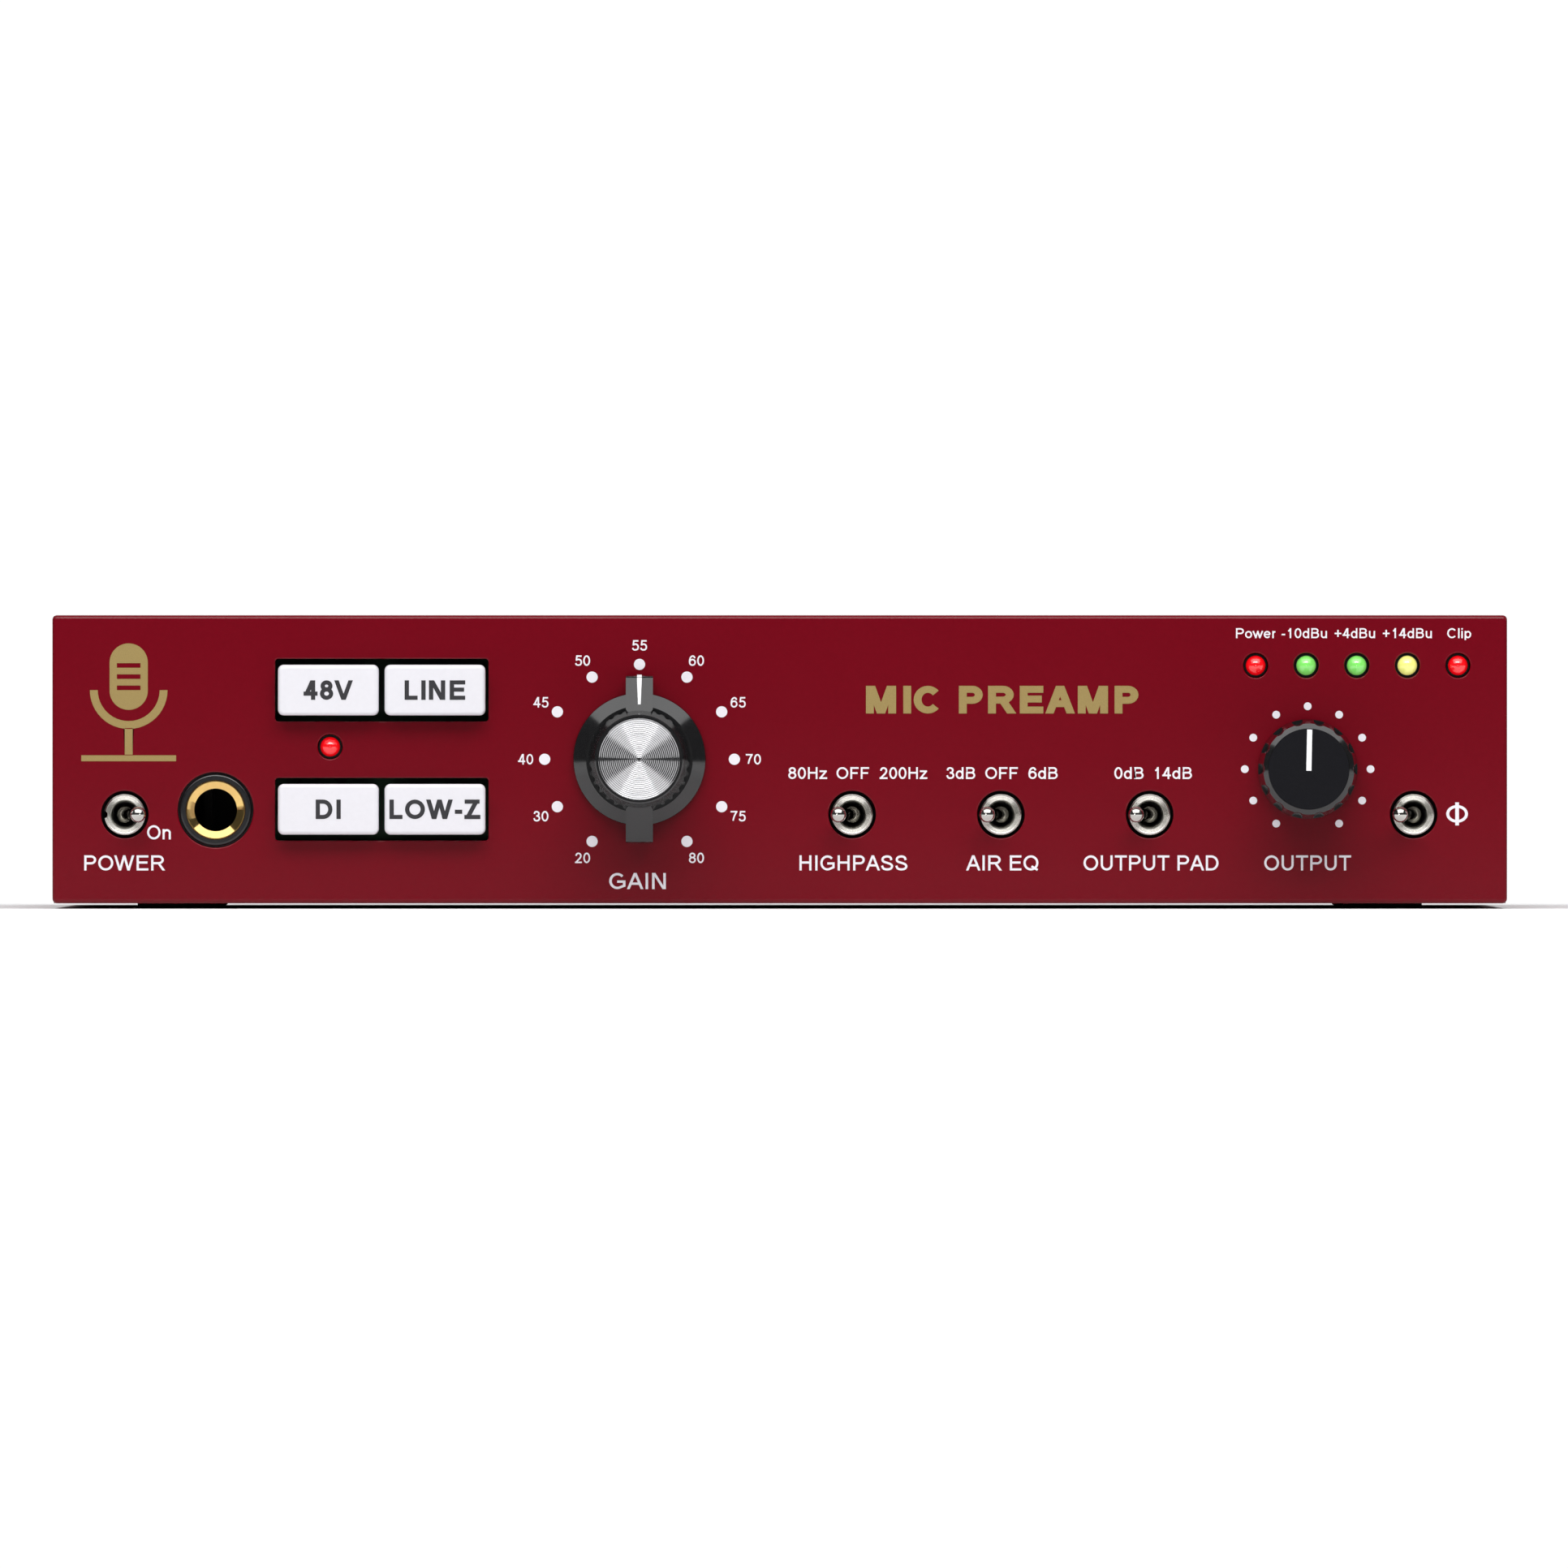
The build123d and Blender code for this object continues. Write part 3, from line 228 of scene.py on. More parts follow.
def lens_of(name, colour, glow, strength):
    """A lit lamp: its dome glows, and its body inside the panel is painted near-black, a painted shade for the
    dark gap round the lens in its hole.
    """
    made = finish_of(name, colour, 0.3, spread=0.06, scale=700, coat=1.0, coat_ior=1.85, specular=0.1)
    tree, shader = made.node_tree, made.node_tree.nodes["Principled BSDF"]
    place = tree.nodes.new("ShaderNodeTexCoord")
    split = tree.nodes.new("ShaderNodeSeparateXYZ")
    fade = tree.nodes.new("ShaderNodeMapRange")
    fade.inputs["From Min"].default_value = face_y + 0.9 * mm
    fade.inputs["From Max"].default_value = face_y + 1.5 * mm
    tree.links.new(place.outputs["Object"], split.inputs["Vector"])
    tree.links.new(split.outputs["Y"], fade.inputs["Value"])
    glows = ramp_of(tree, fade.outputs["Result"], glow, (0, 0, 0), 0.0, 1.0)
    tree.links.new(glows, shader.inputs["Emission Color"])
    shader.inputs["Emission Strength"].default_value = strength
    # Painted shade: deeper than the face, the lens's colour turns near-black, standing in for the shade inside the
    # panel's hole.
    body = tree.nodes.new("ShaderNodeMix")
    body.data_type = "RGBA"
    tint = shader.inputs["Base Color"].links[0].from_socket
    tree.links.new(fade.outputs["Result"], body.inputs["Factor"])
    tree.links.new(tint, body.inputs["A"])
    body.inputs["B"].default_value = (0.01, 0.008, 0.008, 1)
    tree.links.new(body.outputs["Result"], shader.inputs["Base Color"])
    return made


def waves_of(tree, value, pitch):
    """Turns a length into even waves, 0 to 1 and back over each pitch."""
    wave = tree.nodes.new("ShaderNodeMath")
    wave.operation = "PINGPONG"
    level = tree.nodes.new("ShaderNodeMath")
    level.operation = "DIVIDE"
    for node in (wave, level):
        node.inputs[1].default_value = pitch / 2
    tree.links.new(value, wave.inputs[0])
    tree.links.new(wave.outputs[0], level.inputs[0])
    return level.outputs[0]


def rings_of(name, colour, roughness, pitch, depth, centre):
    """Turned metal: fine rings about an axis along Y through centre."""
    made, tree, shader = principled(name)
    place = tree.nodes.new("ShaderNodeTexCoord")
    move = tree.nodes.new("ShaderNodeMapping")
    move.inputs["Location"].default_value = (-centre.x, 0, -centre.z)
    move.inputs["Scale"].default_value = (1, 0, 1)
    radius = tree.nodes.new("ShaderNodeVectorMath")
    radius.operation = "LENGTH"
    tree.links.new(place.outputs["Object"], move.inputs["Vector"])
    tree.links.new(move.outputs["Vector"], radius.inputs[0])
    level = waves_of(tree, radius.outputs["Value"], pitch)
    low = [c * 0.8 for c in colour]
    tree.links.new(ramp_of(tree, level, low, colour, 0.0, 1.0), shader.inputs["Base Color"])
    shader.inputs["Metallic"].default_value = 1.0
    shader.inputs["Roughness"].default_value = roughness
    add_bump(tree, shader, level, depth)
    return made


def stripes_of(name, low, high, pitch, axis, roughness, metallic, depth):
    """Even stripes across one axis, such as laminations or turns of tape."""
    made, tree, shader = principled(name)
    place = tree.nodes.new("ShaderNodeTexCoord")
    split = tree.nodes.new("ShaderNodeSeparateXYZ")
    tree.links.new(place.outputs["Object"], split.inputs["Vector"])
    level = waves_of(tree, split.outputs["XYZ".index(axis)], pitch)
    tree.links.new(ramp_of(tree, level, low, high, 0.2, 0.6), shader.inputs["Base Color"])
    shader.inputs["Metallic"].default_value = metallic
    shader.inputs["Roughness"].default_value = roughness
    add_bump(tree, shader, level, depth)
    return made


def board_of(name):
    """Green solder mask with faint copper tracks under it."""
    made, tree, shader = principled(name)
    place = tree.nodes.new("ShaderNodeTexCoord")
    tracks = tree.nodes.new("ShaderNodeTexVoronoi")
    tracks.distance = "MANHATTAN"
    tracks.inputs["Scale"].default_value = 180
    tree.links.new(place.outputs["Object"], tracks.inputs["Vector"])
    mask, copper = (0.012, 0.075, 0.03), (0.03, 0.16, 0.06)
    colour = ramp_of(tree, tracks.outputs["Distance"], mask, copper, 0.35, 0.4)
    tree.links.new(colour, shader.inputs["Base Color"])
    shader.inputs["Roughness"].default_value = 0.3
    add_bump(tree, shader, tracks.outputs["Distance"], 0.00003)
    return made


red = (0.150, 0.0012, 0.0075)
cream = (0.74, 0.73, 0.77)
nickel = (0.58, 0.57, 0.54)


def dress_nodes():
    """Gives every CAD node its material."""
    paint = finish_of("red_paint", red, 0.18, spread=0.03, scale=1800, bump=0.000002, specular=0.22)
    black = finish_of("black_oxide", (0.03, 0.03, 0.032), 0.35, metallic=0.8, scale=4000)
    zinc = finish_of("zinc", (0.55, 0.55, 0.56), 0.3, metallic=1.0, scale=3000)
    chrome = finish_of("nickel", nickel, 0.07, metallic=1.0, spread=0.03, scale=3000)
    white = finish_of("button_white", cream, 0.33, spread=0.012, scale=1500, coat=0.25)
    dark = finish_of("moulded_black", (0.018, 0.018, 0.02), 0.45, scale=3000, bump=0.000004)
    gloss = finish_of("knob_gloss", (0.008, 0.008, 0.0085), 0.12, spread=0.2, scale=1500, specular=0.85)
    satin = finish_of("knob_satin", (0.007, 0.007, 0.009), 0.4, spread=0.15, scale=5000, bump=0.000003,
                      specular=0.1)
    nose = finish_of("jack_nose", (0.010, 0.010, 0.011), 0.2, spread=0.2, scale=2000)
    steel = finish_of("shaft_steel", (0.5, 0.5, 0.5), 0.28, metallic=1.0, stretch=(1, 12, 1))
    gold = finish_of("gold_plate", (0.90, 0.62, 0.22), 0.10, metallic=1.0, spread=0.05, scale=1500)
    board = board_of("solder_mask")
    rubber = finish_of("foot_rubber", (0.02, 0.02, 0.02), 0.8, scale=2500, bump=0.00002)
    can = finish_of("shield_can", (0.5, 0.5, 0.52), 0.3, metallic=1.0, stretch=(1, 1, 0.05))
    sleeve = finish_of("capacitor_sleeve", (0.012, 0.018, 0.06), 0.25, scale=900)
    film = finish_of("film_capacitor", (0.42, 0.03, 0.02), 0.3, scale=1200, bump=0.00001)
    sink = finish_of("heatsink", (0.02, 0.02, 0.02), 0.4, metallic=0.6, stretch=(1, 1, 0.1))
    brass = finish_of("standoff_brass", (0.7, 0.52, 0.25), 0.28, metallic=1.0)
    die_cast = finish_of("die_cast", (0.5, 0.5, 0.5), 0.34, metallic=1.0, scale=2500, bump=0.000005)
    core = stripes_of("laminations", (0.12, 0.12, 0.13), (0.3, 0.3, 0.32), 0.7 * mm, "Y", 0.4, 1.0,
                      0.05 * mm)
    tape = stripes_of("coil_tape", (0.42, 0.27, 0.03), (0.55, 0.38, 0.06), 2.4 * mm, "Z", 0.35, 0.0,
                      0.04 * mm)
    # each lamp's body colour, glow and the glow's strength
    lens = {
        "red_lamps": ((0.62, 0.002, 0.006), (1.0, 0.004, 0.008), 0.42),
        "green_lamps": ((0.16, 0.60, 0.10), (0.30, 0.95, 0.20), 0.30),
        "yellow_lamp": ((0.70, 0.72, 0.16), (0.98, 0.98, 0.32), 0.36),
    }
    wear = {
        paint: ["front_panel", "top_cover", "rear_panel", "bottom_tray"],
        black: ["cover_screws", "chassis_screws"],
        zinc: ["connector_screws", "board_screws"],
        rubber: ["rubber_feet"],
        chrome: ["toggle_bushings"] + [n for n in nodes if n.endswith("_toggle_lever")],
        white: [n for n in nodes if n.endswith("_button_cap")],
        dark: ["push_switch_bodies", "toggle_cases", "relays", "board_headers", "regulators",
               "rear_jack_bodies", "mic_xlr_insert", "power_inlet"]
        + [n for n in nodes if n.endswith("_button_stem")],
        gloss: ["gain_knob", "output_knob"],
        satin: ["output_knob_cap"],
        nose: ["instrument_jack_body"],
        steel: ["gain_shaft", "output_shaft", "gain_switch_body", "output_pot_body"],
        gold: ["instrument_jack_sleeve", "output_xlr_pins"],
        board: ["control_board", "main_board", "gain_switch_wafers"],
        die_cast: ["mic_xlr_shell", "output_xlr_shell", "rear_jack_nuts", "mic_xlr_latch"],
        brass: ["board_standoffs"],
        can: ["input_transformers"],
        core: ["output_transformer_core"],
        tape: ["output_transformer_coil"],
        sleeve: ["reservoir_capacitors", "signal_capacitors"],
        film: ["film_capacitors"],
        sink: ["regulator_heatsink"],
    }
    for name, (colour, glow, strength) in lens.items():
        made = lens_of(f"{name}_lens", colour, glow, strength)
        wear[made] = [name]
    for made, names in wear.items():
        for name in names:
            dress(nodes[name], made)
    dress(nodes["gain_knob_disc"], steel)


def dress(thing, made):
    thing.data.materials.clear()
    thing.data.materials.append(made)


# ---------------------------------------------------------------- prints on the panels
front_turn = Matrix.Rotation(math.radians(90), 4, "X")
rear_turn = Matrix.Rotation(math.radians(180), 4, "Z") @ front_turn
print_height = 0.03 * mm


def plate_mesh(name, outlines, holes=()):
    """A thin flat plate in XY from closed outlines, each minus the holes inside it."""
    curve = bpy.data.curves.new(name, "CURVE")
    curve.dimensions = "2D"
    curve.fill_mode = "BOTH"
    curve.extrude = print_height / 2
    for outline in (*outlines, *holes):
        spline = curve.splines.new("POLY")
        spline.points.add(len(outline) - 1)
        for point, (x, y) in zip(spline.points, outline):
            point.co = (x, y, 0, 1)
        spline.use_cyclic_u = True
    holder = bpy.data.objects.new(name, curve)
    bpy.context.scene.collection.objects.link(holder)
    bpy.context.view_layer.update()
    graph = bpy.context.evaluated_depsgraph_get()
    made = bpy.data.meshes.new_from_object(holder.evaluated_get(graph))
    bpy.data.objects.remove(holder)
    made.name = name
    return made


def arc(x, y, half_width, half_height, start, end, count=10):
    """Points on an ellipse, from start to end in degrees."""
    turns = [math.radians(start + (end - start) * i / count) for i in range(count + 1)]
    return [(x + half_width * math.cos(a), y + half_height * math.sin(a)) for a in turns]


def between(p, q, r, w, t):
    """A Catmull-Rom spline's value from q to r, with p before them and w after them."""
    square, cube = (2 * p - 5 * q + 4 * r - w) * t**2, (3 * q - p - 3 * r + w) * t**3
    return 0.5 * (2 * q + (r - p) * t + square + cube)


def smooth(points):
    """A smooth line through points, in five steps from each to the next."""
    steps = 5
    ends = [points[0], *points, points[-1]]
    line = []
    for four in zip(ends, ends[1:], ends[2:], ends[3:]):
        for i in range(steps):
            line.append(tuple(between(*values, i / steps) for values in zip(*four)))
    return [*line, points[-1]]


def bowl(x, y, width, height):
    """The right half of an oval, downwards."""
    return arc(x, y, width, height, 90, -90)


oval = arc(0.5, 0.5, 0.5, 0.5, 0, 360, 28)[:-1]
small = 0.68  # height of the small letters, to the middle of their strokes
round_small = arc(0.5, small / 2, 0.5, small / 2, 0, 360, 24)[:-1]
loop, cut = "closed", "cut"

# Each letter: left bearing, width and advance in capital heights, then its strokes, drawn in a unit
# square. A loop is a closed ring, and a cut stroke is a slanting one with level ends.
letters = {
    "A": (0.0, 0.93, 0.93, [cut, (0, 0), (0.5, 1)], [cut, (1, 0), (0.5, 1)], [(0.24, 0.31), (0.76, 0.31)]),
    "B": (0.10, 0.75, 0.93, [loop, (0, 0), (0, 1), *bowl(0.56, 0.77, 0.36, 0.23), (0, 0.54)],
          [loop, (0, 0), (0, 0.54), *bowl(0.6, 0.27, 0.4, 0.27)]),
    "C": (0.07, 0.88, 1.01, arc(0.52, 0.5, 0.52, 0.5, 40, 320, 22)),
    "D": (0.11, 0.83, 1.01, [loop, (0, 0), (0, 1), *arc(0.42, 0.5, 0.58, 0.5, 90, -90, 16)]),
    "E": (0.11, 0.75, 0.93, [(1, 1), (0, 1), (0, 0), (1, 0)], [(0.05, 0.53), (0.9, 0.53)]),
    "F": (0.11, 0.68, 0.85, [(1, 1), (0, 1), (0, 0)], [(0.05, 0.5), (0.84, 0.5)]),
    "G": (0.07, 0.93, 1.09, [*arc(0.5, 0.5, 0.5, 0.5, 42, 300, 20), (1, 0.16), (1, 0.46), (0.58, 0.46)]),
    "H": (0.11, 0.78, 1.01, [(0, 0), (0, 1)], [(1, 0), (1, 1)], [(0.05, 0.53), (0.95, 0.53)]),
    "I": (0.13, 0.13, 0.39, [(0.5, 0), (0.5, 1)]),
    "L": (0.10, 0.63, 0.78, [(0, 1), (0, 0), (1, 0)]),
    "M": (0.10, 0.96, 1.16, [(0, 0), (0, 1)], [(1, 0), (1, 1)], [cut, (0.05, 1), (0.5, 0)],
          [cut, (0.95, 1), (0.5, 0)]),
    "N": (0.11, 0.79, 1.01, [(0, 0), (0, 1)], [(1, 0), (1, 1)], [cut, (0.05, 1), (0.95, 0)]),
    "O": (0.07, 0.96, 1.09, [loop, *oval]),
    "P": (0.11, 0.76, 0.93, [(0, 0), (0, 1)], [(0.1, 1), *bowl(0.6, 0.735, 0.4, 0.265), (0.1, 0.47)]),
    "Q": (0.06, 0.97, 1.09, [loop, *oval], [(0.62, 0.2), (0.95, 0.0)]),
    "R": (0.11, 0.88, 1.01, [(0, 0), (0, 1)], [(0.1, 1), *bowl(0.55, 0.74, 0.35, 0.26), (0.1, 0.48)],
          [cut, (1, 0), (0.52, 0.5)]),
    "S": (0.06, 0.80, 0.93,
          smooth([(0.93, 0.72), (0.82, 0.93), (0.5, 1), (0.17, 0.93), (0.05, 0.75), (0.17, 0.6), (0.5, 0.51),
                  (0.85, 0.41), (1, 0.25), (0.86, 0.06), (0.5, 0), (0.15, 0.07), (0, 0.29)])),
    "T": (0.03, 0.79, 0.85, [(0, 1), (1, 1)], [(0.5, 0), (0.5, 0.95)]),
    "U": (0.11, 0.78, 1.01, [(0, 1), *arc(0.5, 0.37, 0.5, 0.37, 180, 360, 14), (1, 1)]),
    "V": (0.0, 0.92, 0.93, [cut, (0, 1), (0.5, 0)], [cut, (1, 1), (0.5, 0)]),
    "W": (0.0, 1.28, 1.32, [cut, (0, 1), (0.26, 0)], [cut, (0.5, 1), (0.26, 0)], [cut, (0.5, 1), (0.74, 0)],
          [cut, (1, 1), (0.74, 0)]),
    "Z": (0.03, 0.79, 0.85, [(0.06, 1), (0.94, 1)], [(0.03, 0), (1, 0)], [cut, (0.92, 1), (0.06, 0)]),
    "0": (0.06, 0.66, 0.78, [loop, *oval]),
    "1": (0.15, 0.37, 0.78, smooth([(0.1, 0.72), (0.6, 0.84), (0.95, 1)]), [(1, 0), (1, 1)]),
    "2": (0.04, 0.66, 0.78,
          smooth([(0.05, 0.73), (0.2, 0.93), (0.52, 1), (0.85, 0.91), (0.95, 0.72), (0.8, 0.48), (0.35, 0.2),
                  (0.06, 0.0)]),
          [(0, 0), (1, 0)]),
    "3": (0.06, 0.66, 0.78,
          smooth([(0.05, 0.76), (0.18, 0.94), (0.48, 1), (0.82, 0.91), (0.88, 0.76), (0.75, 0.58),
                  (0.42, 0.53)]),
          smooth([(0.42, 0.535), (0.82, 0.47), (1, 0.28), (0.86, 0.07), (0.47, 0), (0.14, 0.07), (0, 0.28)])),
    "4": (0.02, 0.70, 0.78, [(0, 0.27), (1, 0.27)], [(0.76, 0), (0.76, 1)], [cut, (0.72, 1), (0.02, 0.27)]),
    "5": (0.06, 0.67, 0.78, [(0.92, 1), (0.22, 1), (0.11, 0.5)],
          smooth([(0.10, 0.54), (0.5, 0.64), (0.88, 0.54), (1, 0.31), (0.86, 0.07), (0.47, 0), (0.14, 0.06),
                  (0, 0.22)])),
    "6": (0.05, 0.67, 0.78,
          smooth([(0.95, 0.77), (0.8, 0.95), (0.52, 1), (0.17, 0.86), (0.01, 0.55), (0, 0.36)]),
          [loop, *arc(0.5, 0.31, 0.5, 0.31, 0, 360, 22)[:-1]]),
    "7": (0.07, 0.65, 0.78, [(0, 1), (1, 1)], smooth([(0.96, 0.96), (0.56, 0.5), (0.33, 0)])),
    "8": (0.06, 0.66, 0.78, [loop, *arc(0.5, 0.77, 0.43, 0.23, 0, 360, 20)[:-1]],
          [loop, *arc(0.5, 0.27, 0.5, 0.27, 0, 360, 20)[:-1]]),
    "d": (0.05, 0.63, 0.78, [(1, 0), (1, 1)], [loop, *round_small]),
    "e": (0.05, 0.67, 0.78, [(0.1, 0.35), (0.9, 0.35)], arc(0.5, small / 2, 0.5, small / 2, 8, 322, 22)),
    "i": (0.09, 0.13, 0.31, [(0.5, 0), (0.5, small)], [(0.5, 0.99), (0.5, 1)]),
    "l": (0.09, 0.13, 0.31, [(0.5, 0), (0.5, 1)]),
    "n": (0.09, 0.59, 0.78, [(0, 0), (0, small)],
          [(0, 0.45), *arc(0.52, 0.45, 0.48, small - 0.45, 150, 0), (1, 0)]),
    "o": (0.05, 0.68, 0.78, [loop, *round_small]),
    "p": (0.09, 0.63, 0.78, [(0, -0.22), (0, small)], [loop, *round_small]),
    "r": (0.09, 0.39, 0.47, [(0, 0), (0, small)], smooth([(0.0, 0.42), (0.3, 0.63), (0.95, 0.66)])),
    "u": (0.09, 0.59, 0.78, [(1, 0), (1, small)],
          [(0, small), *arc(0.48, 0.23, 0.48, 0.23, 180, 330), (1, 0.23)]),
    "w": (0.0, 0.99, 1.01, [(0, small), (0.27, 0)], [(0.5, small), (0.27, 0)], [(0.5, small), (0.73, 0)],
          [(1, small), (0.73, 0)]),
    "z": (0.03, 0.64, 0.70, [(0.04, small), (0.93, small)], [(0, 0), (1, 0)],
          [(0.92, small - 0.03), (0.06, 0.03)]),
    "+": (0.08, 0.65, 0.82, [(0, 0.47), (1, 0.47)], [(0.5, 0.15), (0.5, 0.8)]),
    "-": (0.05, 0.38, 0.47, [(0.08, 0.34), (0.92, 0.34)]),
    " ": (0.0, 0.0, 0.39),
}


def add_ribbon(shape, points, kind, half, lift):
    """Adds a flat closed solid along a line, half its width to each side, with mitred corners. A cut
    stroke ends level; another one is longer by half its width where its end is straight."""
    sharpest, straight = 0.5, 0.02
    line = [Vector(p) for p in points]
    closed = kind == loop
    count = len(line)
    rows = []
    for i, point in enumerate(line):
        before = line[i - 1] if i or closed else None
        after = line[(i + 1) % count] if i < count - 1 or closed else None
        into = (point - before).normalized() if before is not None else (after - point).normalized()
        out = (after - point).normalized() if after is not None else into
        across = Vector((-(into + out).y, (into + out).x)).normalized()
        wide = half / max(sharpest, across.dot(Vector((-into.y, into.x))))
        pair = [point + across * wide * side for side in (1, -1)]
        if not closed and i in (0, count - 1):
            ahead = out if i else -out
            if kind == cut:
                hangs = ahead.y < 0 and point.y > half
                goal = point.y - half if hangs else point.y
                pair = [p + ahead * ((goal - p.y) / ahead.y) for p in pair]
                shift = point.x - (pair[0].x + pair[1].x) / 2
                pair = [p + Vector((shift, 0)) for p in pair]
            elif count == 2 or min(abs(ahead.x), abs(ahead.y)) < straight:
                pair = [p + ahead * half for p in pair]
        rows.append(pair)
    low, high = (
        [[shape.verts.new((p.x, p.y, z)) for p in pair] for pair in rows] for z in (0.0, print_height + lift)
    )
    spans = range(count if closed else count - 1)
    for i in spans:
        j = (i + 1) % count
        shape.faces.new((high[i][0], high[i][1], high[j][1], high[j][0]))
        shape.faces.new((low[i][1], low[i][0], low[j][0], low[j][1]))
        for a in (0, 1):
            shape.faces.new((low[i][a], high[i][a], high[j][a], low[j][a])[:: 1 if a else -1])
    if not closed:
        for i in (0, count - 1):
            shape.faces.new((low[i][0], low[i][1], high[i][1], high[i][0])[:: 1 if i else -1])


def text_mesh(name, words, width, cap_height, stem=0.145):
    """Lettering centred on the origin in XY, fitted to a width and a capital's height. Its strokes
    differ a little in thickness, so that no two of them share a surface where they cross."""
    lift_step, lift_limit = 0.004 * mm, 0.018 * mm
    shape = bmesh.new()
    along, lift = 0.0, 0.0
    for letter in words:
        bearing, wide, advance, *strokes = letters[letter]
        for stroke in strokes:
            kind = stroke[0] if stroke[0] in (loop, cut) else ""
            points = []
            for x, y in stroke[1 if kind else 0 :]:
                across = along + bearing + stem / 2 + x * max(0.0, wide - stem)
                up = y if kind == cut and y in (0, 1) else stem / 2 + y * (1 - stem)
                points.append((across * cap_height, up * cap_height))
            lift = (lift + lift_step) % lift_limit
            add_ribbon(shape, points, kind, stem / 2 * cap_height, lift)
        along += advance
    bmesh.ops.recalc_face_normals(shape, faces=shape.faces)
    made = bpy.data.meshes.new(name)
    shape.to_mesh(made)
    low, high = min(v.co.x for v in made.vertices), max(v.co.x for v in made.vertices)
    stretch = width / (high - low)
    for v in made.vertices:
        v.co.x = (v.co.x - (low + high) / 2) * stretch
        v.co.y -= cap_height / 2
        v.co.z -= print_height / 2
    return made


def place_piece(name, mesh, made, spot, body, turn=front_turn):
    """Puts a flat mesh on a face and makes it ride on a body."""
    piece = bpy.data.objects.new(name, mesh)
    bpy.context.scene.collection.objects.link(piece)
    piece.matrix_world = Matrix.Translation(spot) @ turn
    dress(piece, made)
    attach(piece, body)


def on_face(x, z):
    """A print's place on the panel's face, from x in the frame and z from the panel's middle."""
    return Vector((x, face_y - print_height / 2, mid_z + z))


def oval_outline(half_width, half_height, centre=(0, 0), count=40):
    turns = [2 * math.pi * i / count for i in range(count)]
    return [(centre[0] + half_width * math.cos(a), centre[1] + half_height * math.sin(a)) for a in turns]


def bar_outline(low_x, low_y, high_x, high_y):
    return [(low_x, low_y), (high_x, low_y), (high_x, high_y), (low_x, high_y)]


def arc_band(inner, outer, start, end, centre):
    """A band between two radii, from start to end in degrees."""
    count = 24
    angles = [math.radians(start + (end - start) * i / count) for i in range(count + 1)]
    out = [(centre[0] + outer * math.cos(a), centre[1] + outer * math.sin(a)) for a in angles]
    back = [(centre[0] + inner * math.cos(a), centre[1] + inner * math.sin(a)) for a in reversed(angles)]
    return out + back


def scale_spots(radius):
    """Eleven spots round a knob, from -150 to 150 degrees."""
    angles = [math.radians(-150 + 30 * step) for step in range(11)]
    return [(radius * math.sin(a), radius * math.cos(a)) for a in angles]


def scale_dots(name, centre, radius, dot, made):
    spots = scale_spots(radius)
    mesh = plate_mesh(name, [oval_outline(dot / 2, dot / 2, spot, 32) for spot in spots])
    place_piece(name, mesh, made, on_face(centre.x, centre.z - mid_z), "chassis")


